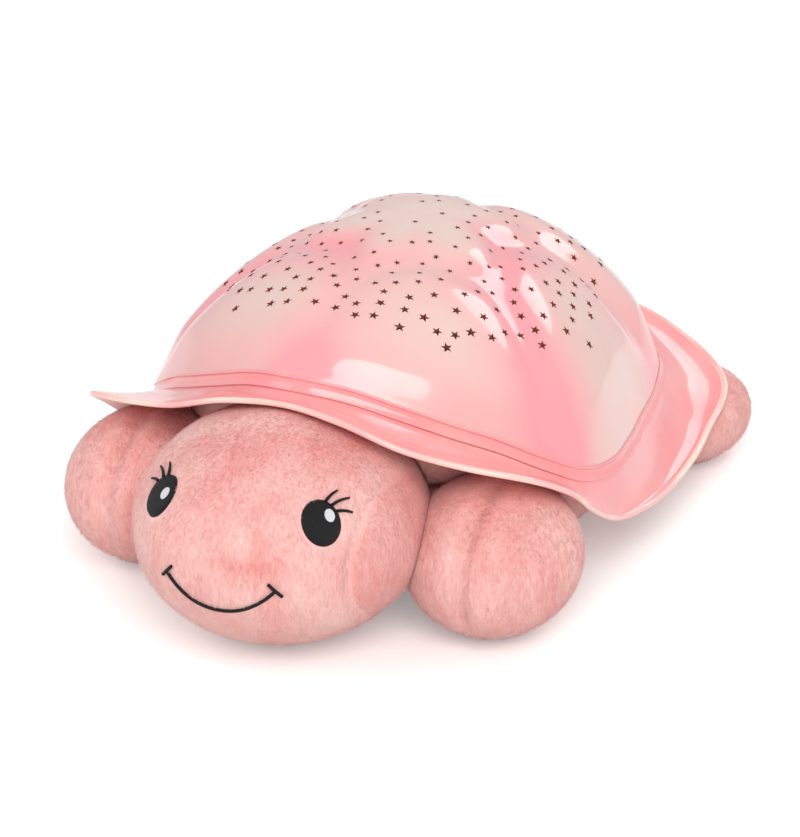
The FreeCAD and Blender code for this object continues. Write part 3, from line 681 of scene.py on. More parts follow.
def add_hole_wall(maker, ring):
    """The cut edge of one hole, through the shell's wall."""
    tops = [dome_point(*spot) for spot in ring]
    deep = [top - normal_of(dome_point, *spot) * WALL for top, spot in zip(tops, ring)]
    for k in range(len(ring)):
        m = (k + 1) % len(ring)
        normal = (tops[m] - tops[k]).cross(deep[k] - tops[k]).normalized()
        quad = [maker.add(point, normal, 1.0) for point in (tops[k], deep[k], deep[m], tops[m])]
        maker.face(quad, HOLE)


def add_dome(maker):
    """The pierced dome, outside and inside, with its hole walls; returns its inner foot ring."""
    spots, triangles, outlines, foot = dome_mesh()
    outer = []
    inner = []
    for angle, share in spots:
        point = dome_point(angle, share)
        normal = normal_of(dome_point, angle, share)
        outer.append(maker.add(point, normal, pink_amount(angle, share)))
        inner.append(maker.add(point - normal * WALL, -normal, 1.0))
    for a, b, c in triangles:
        maker.face((outer[a], outer[b], outer[c]), DOME)
        maker.face((inner[c], inner[b], inner[a]), INSIDE)
    for ring in outlines:
        add_hole_wall(maker, [spots[k] for k in ring])
    return [inner[k] for k in foot]


def add_skirt(maker, inner_foot):
    """The ridges, band, skirt, lip and underside, from the dome's outer foot to its inner one."""
    angles = [360.0 * k / AROUND for k in range(AROUND)]
    columns = [foot_profile(angle) + lip_ring(angle) + back_column(angle) for angle in angles]
    rows = list(zip(*columns))
    rim_row = len(foot_profile(0.0)) - 1
    back_row = rim_row + LIP_STEPS
    edge = [dome_point(angle, DOME_EDGE_SHARE) for angle in angles]
    normals = ring_normals([edge] + rows)[1:]
    previous = [maker.add(dome_point(angle, 1.0), n, 1.0) for angle, n in zip(angles, normals[0])]
    for r, row in enumerate(rows):
        material = SKIRT
        if r >= rim_row:
            material = RIM
        if r > back_row:
            material = INSIDE
        current = [maker.add(point, n, 1.0) for point, n in zip(row, normals[r])]
        maker.strip(previous, current, material)
        previous = current
    maker.strip(previous, inner_foot, INSIDE)


def build_shell(materials):
    maker = MeshMaker()
    inner_foot = add_dome(maker)
    add_skirt(maker, inner_foot)
    return maker.build("star_shell_moulding", materials, "pink")


# Plush forms.


def body_front(x, z):
    """How far the body's form reaches from its middle along Y at x and z; 0 outside it."""
    across = abs(x - BODY_CENTRE[0]) / (BODY_HALF[0] + SOFT_GAP)
    up = abs(z - BODY_CENTRE[2]) / (BODY_HALF[2] + SOFT_GAP)
    size = (across ** BODY_FULL + up ** BODY_FULL) ** (1 / BODY_FULL)
    if size >= 1:
        return 0.0
    return (BODY_HALF[1] + SOFT_GAP) * (1 - size ** BODY_POWER) ** (1 / BODY_POWER)


def body_side(y, z):
    """How far the body's form reaches from its middle along X at y and z; 0 outside it."""
    along = abs(y - BODY_CENTRE[1]) / (BODY_HALF[1] + SOFT_GAP)
    if along >= 1:
        return 0.0
    size = (1 - along ** BODY_POWER) ** (1 / BODY_POWER)
    up = abs(z - BODY_CENTRE[2]) / (BODY_HALF[2] + SOFT_GAP) / size
    if up >= 1:
        return 0.0
    return (BODY_HALF[0] + SOFT_GAP) * size * (1 - up ** BODY_FULL) ** (1 / BODY_FULL)


def head_side(y, z):
    """How far the head reaches from its middle along X at y and z; 0 outside it."""
    along = (y - HEAD_CENTRE[1]) / (HEAD_HALF[1] + SOFT_GAP)
    up = (z - HEAD_CENTRE[2]) / (HEAD_HALF[2] + SOFT_GAP)
    rest = 1 - along ** 2 - up ** 2
    return (HEAD_HALF[0] + SOFT_GAP) * math.sqrt(rest) if rest > 0 else 0.0


def settle(z):
    """Flattens a form softly where it rests on the floor."""
    if z > SETTLE_LOW + SETTLE_SOFT:
        return z
    return SETTLE_LOW + SETTLE_SOFT * math.exp((z - SETTLE_LOW - SETTLE_SOFT) / SETTLE_SOFT)


def ball_form(shape, levels):
    """Points and triangles of a form that a function shapes from an even ball."""
    work = bmesh.new()
    bmesh.ops.create_icosphere(work, subdivisions=levels, radius=1.0)
    points = np.array([shape(v.co.copy()) for v in work.verts])
    faces = np.array([[v.index for v in f.verts] for f in work.faces])
    work.free()
    return points, faces


def ring_form(rings):
    """Points and triangles through rings of points, the last ring joined to the first."""
    count = len(rings[0])
    points = np.array([p for ring in rings for p in ring])
    faces = []
    for r in range(len(rings)):
        here = r * count
        above = (r + 1) % len(rings) * count
        for k in range(count):
            m = (k + 1) % count
            faces += [(here + k, here + m, above + m), (here + k, above + m, above + k)]
    return points, np.array(faces)


def groove(distance, width, depth):
    """Depth of a soft groove at a distance from its middle."""
    return depth * math.exp(-(distance / width) ** 2)


def oval(centre, half, d):
    """Point of an egg-shaped form in the direction d."""
    return [centre[k] + half[k] * d[k] for k in range(3)]


def head_point(d):
    """The head, its side seams drawn in, pressed against the body and the hem."""
    x, y, z = oval(HEAD_CENTRE, HEAD_HALF, d)
    sink = groove(abs(x) - SEAM_X, SEAM_WIDE, SEAM_DEEP) * smooth_step(*HEAD_SEAM_FADE, d.y)
    x, y, z = x - sink * d.x, y - sink * d.y, z - sink * d.z
    reach = body_front(x, z)
    if reach > 0:
        y = min(y, CASE_Y - reach)
    if z > FLANGE_LOW - FLANGE_ROOM and abs(x) < FLANGE_RADIUS:
        y = min(y, CASE_Y - math.sqrt((FLANGE_RADIUS + FLANGE_ROOM) ** 2 - x * x))
    return Vector((x, y, settle(z)))


def front_foot_point(d):
    """A front foot on the +X side, creased in front, pressed against the head and the body."""
    x, y, z = oval(FRONT_FOOT_CENTRE, FRONT_FOOT_HALF, d)
    forward = smooth_step(*CREASE_BACK_FADE, d.y) * smooth_step(*CREASE_LOW_FADE, d.z)
    crease = groove(x - CREASE_X, CREASE_WIDE, CREASE_DEEP) * forward
    hem = groove(z - FRONT_HEM_Z, SEAM_WIDE, SEAM_DEEP) * smooth_step(*FRONT_HEM_FADE, d.y)
    x, y, z = x - hem * d.x, y - (crease + hem) * d.y, z - crease * d.z
    x = max(x, head_side(y, z), body_side(y, z))
    return Vector((x, y, settle(z)))


def rear_foot_point(d):
    """A rear foot on the +X side, pressed against the body."""
    x, y, z = oval(REAR_FOOT_CENTRE, REAR_FOOT_HALF, d)
    hem = groove(z - REAR_HEM_Z, SEAM_WIDE, SEAM_DEEP)
    x, y = x - hem * d.x, y - hem * d.y
    return Vector((max(x, body_side(y, z)), y, settle(z)))


def tail_point(d):
    """The short tail, narrower towards its end, pressed against the body."""
    taper = 1 - TAIL_TAPER * smooth_step(*TAIL_FADE, d.y)
    x = TAIL_CENTRE[0] + TAIL_HALF[0] * d.x * taper
    y = TAIL_CENTRE[1] + TAIL_HALF[1] * d.y
    z = TAIL_CENTRE[2] + TAIL_HALF[2] * d.z * taper
    reach = body_front(x, z)
    if reach > 0:
        y = max(y, CASE_Y + reach)
    return Vector((x, y, settle(z)))


def under_shell(point):
    """True where the shell's skirt or dome comes close over a point."""
    angle = math.degrees(math.atan2(point.x, -point.y))
    flat = math.hypot(point.x, point.y)
    rim = station(RIM_STATIONS, angle)[0]
    if flat > rim + SHELL_ROOM:
        return False
    start = band_point(angle, 1.0)
    inner = math.hypot(start.x, start.y)
    share = min(1.0, max(0.0, (flat - inner) / (rim - inner)))
    cover = skirt_point(angle, share).z if flat > inner else start.z
    return point.z > min(cover, start.z) - WALL - SHELL_ROOM


def mirrored(function):
    """The same form on the -X side."""
    def point(d):
        p = function(Vector((-d.x, d.y, d.z)))
        return Vector((-p.x, p.y, p.z))
    return point


class Plush:
    """One stuffed piece: its skin and the pile on it, in one mesh."""

    def __init__(self, name, form, flow, seed, tint=lambda p: 0.0):
        self.name = name
        self.points, self.faces = form
        self.flow = flow
        self.tint = tint
        self.bare = lambda p: False
        self.random = np.random.default_rng(seed)
        self.set_normals()

    def set_normals(self):
        p = self.points
        f = self.faces
        cross = np.cross(p[f[:, 1]] - p[f[:, 0]], p[f[:, 2]] - p[f[:, 0]])
        self.areas = np.linalg.norm(cross, axis=1) / 2
        normals = np.zeros_like(p)
        for k in range(3):
            np.add.at(normals, f[:, k], cross)
        length = np.linalg.norm(normals, axis=1, keepdims=True)
        self.normals = normals / np.maximum(length, 1e-9)

    def tree(self):
        return BVHTree.FromPolygons([tuple(p) for p in self.points], [tuple(f) for f in self.faces])

    def roots(self):
        """Root and normal of each lock of the pile, where the pile isn't left out."""
        count = int(self.areas.sum() * PILE_DENSE)
        chosen = self.random.choice(len(self.faces), size=count, p=self.areas / self.areas.sum())
        mix = self.random.random((count, 2))
        mix = np.where(mix.sum(axis=1, keepdims=True) > 1, 1 - mix, mix)
        corners = self.points[self.faces[chosen]]
        ways = corners[:, 1:] - corners[:, :1]
        roots = corners[:, 0] + mix[:, :1] * ways[:, 0] + mix[:, 1:] * ways[:, 1]
        normals = self.normals[self.faces[chosen]].mean(axis=1)
        normals /= np.linalg.norm(normals, axis=1, keepdims=True)
        keep = roots[:, 2] > PILE_FLOOR
        keep &= np.array([not under_shell(Vector(r)) and not self.bare(r) for r in roots])
        return roots[keep], normals[keep]

    def blades(self, roots, normals):
        """Tip and half width of each lock, laid along the flow of the pile."""
        flow = np.array([self.flow(r) for r in roots])
        flow += self.random.normal(0, PILE_STRAY, flow.shape)
        flow -= normals * (flow * normals).sum(axis=1, keepdims=True)
        flow /= np.maximum(np.linalg.norm(flow, axis=1, keepdims=True), 1e-6)
        lift = PILE_LIFT * self.random.uniform(*PILE_LIFT_SPREAD, (len(roots), 1))
        length = PILE_LONG * self.random.uniform(*PILE_LONG_SPREAD, (len(roots), 1))
        way = flow + normals * lift
        tips = roots + way / np.linalg.norm(way, axis=1, keepdims=True) * length
        tips[:, 2] = np.maximum(tips[:, 2], PILE_LOWEST)
        return tips, np.cross(normals, flow) * (PILE_WIDE / 2)

    def build(self, look):
        roots, root_normals = self.roots()
        tips, side = self.blades(roots, root_normals)
        sunk = roots - root_normals * PILE_SUNK
        locks = np.stack([sunk + side, sunk - side, tips], axis=1).reshape(-1, 3)
        base = len(self.points)
        points = np.concatenate([self.points, locks])
        normals = np.concatenate([self.normals, np.repeat(root_normals, 3, axis=0)])
        faces = np.concatenate([self.faces, base + np.arange(len(locks)).reshape(-1, 3)])
        lock = np.concatenate([np.full(base, 0.5), np.repeat(self.random.random(len(roots)), 3)])
        tip = np.zeros(len(points))
        tip[base + 2::3] = 1.0
        root_tint = [self.tint(p) for p in roots]
        tint = np.concatenate([[self.tint(p) for p in self.points], np.repeat(root_tint, 3)])
        mesh = bpy.data.meshes.new(self.name)
        mesh.from_pydata(((points + [0, SHIFT_Y, 0]) * MM).tolist(), [], faces.tolist())
        # The skin and the pile share one look, in a slot each.
        mesh.materials.append(look)
        mesh.materials.append(look)
        slots = np.repeat([0, 1], [len(self.faces), len(roots)]).astype(np.int32)
        mesh.polygons.foreach_set("material_index", slots)
        mesh.polygons.foreach_set("use_smooth", np.ones(len(faces), dtype=bool))
        for label, values in (("lock", lock), ("tip", tip), ("tint", tint)):
            layer = mesh.attributes.new(label, "FLOAT", "POINT")
            layer.data.foreach_set("value", values.astype(np.float32))
        mesh.update()
        mesh.normals_split_custom_set_from_vertices(normals.tolist())
        return linked(self.name, mesh)


def flow_head(p):
    """The head's pile lies back and down from the crown."""
    if abs(p[0]) > SEAM_X:
        return np.array([0.2 * math.copysign(1.0, p[0]), 0.5, -1.0])
    return np.array([0.012 * p[0], -0.25, -1.0])


def flow_foot(p):
    """A front foot's pile lies down and forward."""
    return np.array([0.0, -0.35, -1.0])


def flow_body(p):
    """The body's pile lies down and outward."""
    return np.array([0.3 * p[0] / BODY_HALF[0], 0.3 * p[1] / BODY_HALF[1], -1.0])


def flow_rear(p):
    """The rear feet's and the tail's pile lies down and backward."""
    return np.array([0.0, 0.45, -1.0])


# Face.


def surface_hit(tree, x, z):
    """Point and normal of the head at x and z, looked at from the front."""
    hit, normal, _, _ = tree.ray_cast(Vector((x, FAR_FRONT, z)), Vector((0, 1, 0)))
    return hit, normal


class FacePatch:
    """A flat frame on the head for laying stitched shapes on its surface."""

    def __init__(self, tree, x, z):
        self.tree = tree
        self.centre, self.normal = surface_hit(tree, x, z)
        self.side = Vector((0, 0, 1)).cross(self.normal).normalized()
        self.up = self.normal.cross(self.side).normalized()

    def point(self, u, v, proud):
        """Point a little proud of the head at u and v, and the head's normal there."""
        start = self.centre + self.side * u + self.up * v + self.normal * PATCH_HIGH
        hit, normal, _, _ = self.tree.ray_cast(start, -self.normal)
        return hit + normal * proud, normal


def stitched_disc(name, patch, centre, half, proud, material):
    """A satin-stitched oval with a rounded edge, laid on the head."""
    maker = MeshMaker()
    middle = maker.add(*patch.point(*centre, proud))
    rows = []
    for r in range(1, DISC_RINGS + 1):
        share = r / DISC_RINGS
        height = proud * math.sqrt(1 - share ** DISC_FLAT)
        if r == DISC_RINGS:
            height -= DISC_SUNK
        row = []
        for k in range(DISC_AROUND):
            a = 2 * math.pi * k / DISC_AROUND
            u = centre[0] + half[0] * share * math.cos(a)
            v = centre[1] + half[1] * share * math.sin(a)
            point, normal = patch.point(u, v, height)
            outward = (patch.side * math.cos(a) + patch.up * math.sin(a)) * share ** DISC_TURN
            row.append(maker.add(point, (normal + outward).normalized()))
        rows.append(row)
    for k in range(DISC_AROUND):
        maker.face((middle, rows[0][k], rows[0][(k + 1) % DISC_AROUND]))
    for first, second in zip(rows, rows[1:]):
        maker.strip(first, second)
    return maker.build(name, [material])


def stitch_line(name, points, radii, material):
    """A row of thread laid as a rounded cord through points."""
    curve = bpy.data.curves.new(name, "CURVE")
    curve.dimensions = "3D"
    curve.bevel_depth = MM
    curve.bevel_resolution = 3
    curve.use_fill_caps = True
    spline = curve.splines.new("POLY")
    spline.points.add(len(points) - 1)
    for node, point, radius in zip(spline.points, points, radii):
        node.co = (*place(*point), 1.0)
        node.radius = radius
    curve.materials.append(material)
    return linked(name, curve)


def build_eye(label, side, patch, threads):
    """A stitched eye with its glint and three lashes."""
    glint = (GLINT_PLACE[0] * EYE_HALF[0], GLINT_PLACE[1] * EYE_HALF[1])
    pieces = [
        stitched_disc(label + "_eye", patch, (0, 0), EYE_HALF, EYE_PROUD, threads["dark"]),
        stitched_disc(label + "_eye_glint", patch, glint, GLINT_HALF, GLINT_PROUD, threads["white"]),
    ]
    for n, (turn, reach) in enumerate(LASHES):
        path = []
        radii = []
        for k in range(LASH_STEPS + 1):
            t = k / LASH_STEPS
            bend = math.radians(turn) - LASH_BEND * t
            u = side * math.cos(bend) * (EYE_HALF[0] * LASH_ROOT + reach * t)
            v = math.sin(bend) * (EYE_HALF[1] * LASH_ROOT + reach * t)
            path.append(patch.point(u, v, LASH_PROUD)[0])
            radii.append(STITCH * (1 - LASH_THIN * t))
        pieces.append(stitch_line("%s_lash_%d" % (label, n + 1), path, radii, threads["dark"]))
    return pieces


def smile_height(x):
    """Height of the stitched smile at x."""
    return SMILE_LOW + (SMILE_TOP - SMILE_LOW) * abs((x - FACE_SHIFT) / SMILE_HALF) ** SMILE_POWER


def build_smile(tree, thread):
    """The smile and the short tick across each of its ends."""
    places = [FACE_SHIFT + SMILE_HALF * (2 * k / SMILE_STEPS - 1) for k in range(SMILE_STEPS + 1)]
    lines = {"smile": [(x, smile_height(x)) for x in places]}
    for label, side in SIDES:
        tick = []
        for k in range(TICK_STEPS + 1):
            t = 2 * k / TICK_STEPS - 1
            x = FACE_SHIFT + side * (SMILE_HALF + TICK_HALF[0] * t)
            tick.append((x, SMILE_TOP + TICK_UP - TICK_HALF[1] * t))
        lines[label + "_smile_end"] = tick
    pieces = []
    for name, spots in lines.items():
        path = []
        for x, z in spots:
            hit, normal = surface_hit(tree, x, z)
            path.append(hit + normal * SMILE_PROUD)
        pieces.append(stitch_line(name, path, [STITCH] * len(path), thread))
    return pieces


def face_bare(patches):
    """Tells whether the pile is left out at a point, under the stitching and along the seams."""
    def bare(p):
        for patch in patches:
            d = Vector(p) - patch.centre
            u = d.dot(patch.side) / (EYE_HALF[0] + EYE_ROOM)
            v = d.dot(patch.up) / (EYE_HALF[1] + EYE_ROOM)
            if u * u + v * v < 1 and d.length < EYE_REACH:
                return True
        if abs(abs(p[0]) - SEAM_X) < SEAM_BARE:
            return True
        if p[1] < FACE_FRONT and abs(p[0] - FACE_SHIFT) < SMILE_HALF + SMILE_ROOM:
            return abs(p[2] - smile_height(p[0])) < SMILE_BARE
        return False
    return bare


# Body.


def window_reach(angle, half_x, half_y):
    """Radius of a rounded rectangle at an angle."""
    c = abs(math.cos(angle)) / half_x
    s = abs(math.sin(angle)) / half_y
    return (c ** WINDOW_POWER + s ** WINDOW_POWER) ** (-1 / WINDOW_POWER)


def body_reach(angle, z):
    """Radius of the body's form at an angle round its middle, at a height, found by halving."""
    up = abs(z - BODY_CENTRE[2]) / BODY_HALF[2]
    low, high = 0.0, BODY_WIDEST
    for _ in range(SEARCH_ROUNDS):
        r = (low + high) / 2
        along = abs(r * math.sin(angle)) / BODY_HALF[1]
        inside = False
        if along < 1:
            size = (1 - along ** BODY_POWER) ** (1 / BODY_POWER)
            across = abs(r * math.cos(angle)) / BODY_HALF[0] / size
            inside = across ** BODY_FULL + (up / size) ** BODY_FULL < 1
        low, high = (r, high) if inside else (low, r)
    return low


def body_column(a):
    """Radius and height down one line of the skin: window, recess, outside, hem and case pocket."""
    window = window_reach(a, *WINDOW_HALF)
    recess = window_reach(a, *RECESS_HALF)
    column = [(window + out, z) for out, z in WINDOW_EDGE]
    column += [(recess + out, z) for out, z in RECESS_EDGE]
    half = BODY_HALF[2] - BODY_SQUASH
    for n in range(BODY_ROWS + 1):
        z = BODY_CENTRE[2] - half * math.cos(math.pi * n / BODY_ROWS)
        column.append((max(body_reach(a, z), recess + RECESS_BORDER), z))
    top = BODY_CENTRE[2] + half
    hem = FLANGE_RADIUS + HEM_ROOM
    seat = FLANGE_LOW - SEAT_GAP
    pocket = CASE_RADIUS + POCKET_ROOM
    column += [(hem + HEM_ROUND[0], top), (hem, top - HEM_ROUND[1]), (hem, seat), (pocket, seat),
               (pocket, POCKET_LOW), (CASE_RADIUS - POCKET_TAPER, POCKET_FLOOR)]
    return column


def body_form():
    """The stuffed body as one closed skin."""
    columns = []
    for k in range(BODY_AROUND):
        a = 2 * math.pi * k / BODY_AROUND
        columns.append([Vector((r * math.cos(a), CASE_Y + r * math.sin(a), z)) for r, z in body_column(a)])
    return ring_form(list(zip(*columns)))


def collar_point(angle, turn, size):
    """The stuffed collar that fills the space under the shell, pressed by the head and the feet."""
    a = math.radians(angle)
    roof = station(FOOT_STATIONS, angle)[1] - BAND_DROP - WALL - COLLAR_ROOF_GAP
    flat = COLLAR_MIDDLE + COLLAR_HALF * size * math.cos(turn)
    x, y = flat * math.sin(a), -flat * math.cos(a)
    z = (COLLAR_LOW + roof) / 2 + (roof - COLLAR_LOW) / 2 * size * math.sin(turn)
    c, h = FRONT_FOOT_CENTRE, FRONT_FOOT_HALF
    rest = 1 - ((abs(x) - c[0]) / h[0]) ** 2 - ((y - c[1]) / h[1]) ** 2
    if rest > 0:
        z = max(z, c[2] + (h[2] + SOFT_GAP) * math.sqrt(rest) + SOFT_GAP)
    c, h = HEAD_CENTRE, HEAD_HALF
    rest = 1 - (x / (h[0] + SOFT_GAP)) ** 2 - ((z - c[2]) / (h[2] + SOFT_GAP)) ** 2
    if rest > 0 and y < 0:
        y = max(y, c[1] + (h[1] + SOFT_GAP) * math.sqrt(rest))
    return Vector((x, y, z))


def build_collar(name, first, last, material):
    turns = [2 * math.pi * n / COLLAR_AROUND for n in range(COLLAR_AROUND)]
    rings = []
    for k in range(COLLAR_STEPS + 1):
        t = k / COLLAR_STEPS
        size = max(COLLAR_TIP, math.sqrt(1 - abs(2 * t - 1) ** COLLAR_BLUNT))
        rings.append([collar_point(lerp(first, last, t), turn, size) for turn in turns])
    maker = MeshMaker()
    made = [[maker.add(p, n) for p, n in zip(*pair)] for pair in zip(rings, ring_normals(rings))]
    for near, far in zip(made, made[1:]):
        maker.strip(near, far)
    maker.face(made[0])
    maker.face(made[-1][::-1])
    return maker.build(name, [material])


# Belly flap.


def flap_half_thickness(u, v):
    """Half the flap's thickness: full, rounded off at the edge, drawn in along the stitching."""
    edge = min((1 - abs(u)) * FLAP_HALF[0], (1 - abs(v)) * FLAP_HALF[1])
    plump = math.sqrt(1 - (1 - min(1.0, edge / FLAP_ROUND)) ** 2)
    stitch = groove(edge - FLAP_STITCH_IN, FLAP_STITCH_WIDE, FLAP_STITCH_DEEP)
    return max(FLAP_THIN, FLAP_THICK / 2 * plump - stitch)


def build_flap(material):
    """The cloth panel over the battery door, with a rounded edge and a stitch groove."""
    maker = MeshMaker()
    grid = {}
    for layer, way in ((0, -1), (1, 1)):
        for i in range(FLAP_COLUMNS + 1):
            for j in range(FLAP_LINES + 1):
                u = 2 * i / FLAP_COLUMNS - 1
                v = 2 * j / FLAP_LINES - 1
                z = FLAP_LOW + FLAP_THICK / 2 + way * flap_half_thickness(u, v)
                point = (u * FLAP_HALF[0], CASE_Y + v * FLAP_HALF[1], z)
                grid[layer, i, j] = maker.add(point, (0, 0, way))
    for i in range(FLAP_COLUMNS):
        for j in range(FLAP_LINES):
            corners = ((i, j), (i + 1, j), (i + 1, j + 1), (i, j + 1))
            maker.face([grid[1, *p] for p in corners])
            maker.face([grid[0, *p] for p in corners[::-1]])
    border = [(i, 0) for i in range(FLAP_COLUMNS)]
    border += [(FLAP_COLUMNS, j) for j in range(FLAP_LINES)]
    border += [(i, FLAP_LINES) for i in range(FLAP_COLUMNS, 0, -1)]
    border += [(0, j) for j in range(FLAP_LINES, 0, -1)]
    maker.strip([grid[0, *p] for p in border], [grid[1, *p] for p in border])
    return maker.build("belly_flap_cloth", [material])


# Materials.


class Shader:
    """A material with one surface shader and short calls for the nodes that feed it."""

    def __init__(self, name):
        self.material = bpy.data.materials.new(name)
        self.material.use_nodes = True
        self.tree = self.material.node_tree
        self.surface = next(n for n in self.tree.nodes if n.type == "BSDF_PRINCIPLED")

    def node(self, kind, inputs=(), **settings):
        made = self.tree.nodes.new(kind)
        for key, value in settings.items():
            setattr(made, key, value)
        for key, value in dict(inputs).items():
            self.feed(made.inputs[key], value)
        return made

    def feed(self, socket, value):
        if isinstance(value, bpy.types.NodeSocket):
            self.tree.links.new(value, socket)
        else:
            socket.default_value = value

    def set(self, **values):
        for key, value in values.items():
            self.feed(self.surface.inputs[key.replace("_", " ")], value)

    def attribute(self, name):
        return self.node("ShaderNodeAttribute", attribute_name=name).outputs["Fac"]

    def place(self, stretch=(1, 1, 1)):
        coords = self.node("ShaderNodeTexCoord").outputs["Object"]
        return self.node("ShaderNodeMapping", {"Vector": coords, "Scale": stretch}).outputs["Vector"]

    def noise(self, scale, detail=3.0, stretch=(1, 1, 1), rough=0.5):
        inputs = {"Vector": self.place(stretch), "Scale": scale, "Detail": detail, "Roughness": rough}
        return self.node("ShaderNodeTexNoise", inputs).outputs["Fac"]

    def mix(self, amount, first, second):
        made = self.node("ShaderNodeMix", data_type="RGBA")
        self.feed(made.inputs[0], amount)
        self.feed(made.inputs[6], first)
        self.feed(made.inputs[7], second)
        return made.outputs[2]

    def ramp(self, value, low, high, first=0.0, second=1.0):
        inputs = {"Value": value, "From Min": low, "From Max": high, "To Min": first, "To Max": second}
        return self.node("ShaderNodeMapRange", inputs).outputs["Result"]

    def math(self, operation, first, second):
        made = self.node("ShaderNodeMath", operation=operation)
        self.feed(made.inputs[0], first)
        self.feed(made.inputs[1], second)
        return made.outputs[0]

    def total(self, *terms):
        """Sum of values, each times its own weight."""
        amount = 0.0
        for weight, value in terms:
            amount = self.math("ADD", amount, self.math("MULTIPLY", value, weight))
        return amount

    def bump(self, height, strength, distance):
        inputs = {"Height": height, "Strength": strength, "Distance": distance}
        self.set(Normal=self.node("ShaderNodeBump", inputs).outputs["Normal"])


def shade(color, strength=1.0):
    """A colour for a socket, darker where strength is under 1."""
    return (*(c * strength for c in color), 1.0)


def shell_material(name, cream, pink, gloss, airbrushed=False):
    """Pearly moulded plastic in two tones, mixed by airbrush on the dome and in clouds elsewhere."""
    s = Shader(name)
    cloud = s.noise(28.0, 3.0)
    amount = s.ramp(cloud, 0.35, 0.65)
    if airbrushed:
        amount = s.math("ADD", s.attribute("pink"), s.ramp(cloud, 0.3, 0.7, -0.10, 0.10))
        amount = s.ramp(amount, 0.04, 0.96)
    s.set(Base_Color=s.mix(amount, shade(cream), shade(pink)))
    s.set(Roughness=s.ramp(s.noise(340.0, 2.0), 0.3, 0.7, gloss, gloss + 0.05))
    s.set(Coat_Weight=0.55, Coat_Roughness=0.05, IOR=1.5)
    s.set(Subsurface_Weight=0.12, Subsurface_Radius=(1.0, 0.45, 0.35), Subsurface_Scale=0.004)
    s.bump(s.noise(520.0, 2.0), 0.05, 0.0002)
    return s.material


def star_wall_material():
    """The cut edge of a star hole, in a brown-red that is painted light scattered through the plastic, with a
    faint painted glow.
    """
    s = Shader("star_wall_glow_look")
    cloud = s.noise(120.0, 2.0)
    s.set(Base_Color=s.mix(cloud, shade(HOLE_GLOW_BROWN), shade(HOLE_GLOW_BROWN, 0.6)), Roughness=0.5)
    # Painted glow: the wall emits light, though it is no lamp.
    s.set(Emission_Color=shade(HOLE_GLOW_BROWN), Emission_Strength=0.35)
    return s.material


def plush_material():
    """Short pile: streaks of lighter and deeper pink with a velvet sheen, and deeper pink at the roots and on
    the skin than at the tips, painted shade among the locks.
    """
    s = Shader("plush_look")
    broad = s.noise(55.0, 4.0, (1.0, 1.0, 0.45), 0.6)
    streak = s.noise(950.0, 3.0, (1.0, 1.0, 0.2), 0.6)
    cloth = s.ramp(s.total((0.62, broad), (0.38, streak)), 0.34, 0.66)
    lock = s.ramp(s.attribute("lock"), 0.0, 1.0, -0.31, 0.31)
    # Painted shade: the pile is deeper pink at its roots and on the skin between the locks, lighter at its
    # tips.
    amount = s.total((1.0, cloth), (1.0, lock), (-0.30, s.attribute("tip")), (1.0, s.attribute("tint")))
    s.set(Base_Color=s.mix(s.ramp(amount, 0.0, 1.15), shade(PLUSH_LIGHT), shade(PLUSH_DEEP)))
    s.set(Roughness=0.92, Sheen_Weight=0.45, Sheen_Roughness=0.45, Sheen_Tint=(1.0, 0.86, 0.84, 1.0))
    s.set(Specular_IOR_Level=0.15)
    s.bump(streak, 0.8, 0.0009)
    return s.material


def thread_material(name, dark, light):
    """Satin stitch: fine parallel threads with a soft shine."""
    s = Shader(name)
    inputs = {"Vector": s.place((1.0, 0.25, 0.35)), "Scale": 900.0, "Distortion": 1.2, "Detail": 1.0}
    wave = s.node("ShaderNodeTexWave", inputs).outputs["Fac"]
    s.set(Base_Color=s.mix(wave, shade(dark), shade(light)), Roughness=0.55)
    s.set(Specular_IOR_Level=0.25)
    s.bump(wave, 0.6, 0.0003)
    return s.material


def plastic_material(name, color, gloss, grain=600.0, through=0.0):
    """Plain moulded plastic with a faint texture."""
    s = Shader(name)
    fine = s.noise(grain, 2.0)
    s.set(Base_Color=s.mix(s.ramp(s.noise(60.0), 0.35, 0.65), shade(color), shade(color, 0.82)))
    s.set(Roughness=s.ramp(fine, 0.3, 0.7, gloss - 0.06, gloss + 0.06), Transmission_Weight=through)
    s.bump(fine, 0.15, 0.0002)
    return s.material


def metal_material(name, color):
    """Brushed metal."""
    s = Shader(name)
    brushed = s.noise(380.0, 2.0, (0.2, 1.0, 1.0))
    s.set(Base_Color=s.mix(brushed, shade(color), shade(color, 0.7)), Metallic=1.0)
    s.set(Roughness=s.ramp(brushed, 0.3, 0.7, 0.24, 0.42))
    return s.material


def board_material():
    """Green laminate with paler copper tracks under the lacquer."""
    s = Shader("board_laminate_look")
    inputs = {"Vector": s.place(), "Scale": 190.0}
    cells = s.node("ShaderNodeTexVoronoi", inputs, distance="MANHATTAN", feature="F1").outputs["Distance"]
    track = s.ramp(cells, 0.30, 0.36)
    s.set(Base_Color=s.mix(track, shade((0.03, 0.16, 0.07)), shade((0.02, 0.09, 0.04))), Roughness=0.35)
    s.bump(track, 0.2, 0.0001)
    return s.material


def battery_material():
    """A cell's plain dark sleeve, with a metal-coloured end."""
    s = Shader("battery_sleeve_look")
    x = s.node("ShaderNodeSeparateXYZ", {"Vector": s.place()}).outputs["X"]
    end = s.ramp(s.math("ABSOLUTE", x, 0.0), 0.0138, 0.0140)
    s.set(Base_Color=s.mix(end, shade((0.05, 0.05, 0.06)), shade((0.62, 0.42, 0.20))), Metallic=end)
    s.set(Roughness=s.ramp(s.noise(300.0), 0.3, 0.7, 0.26, 0.36))
    return s.material


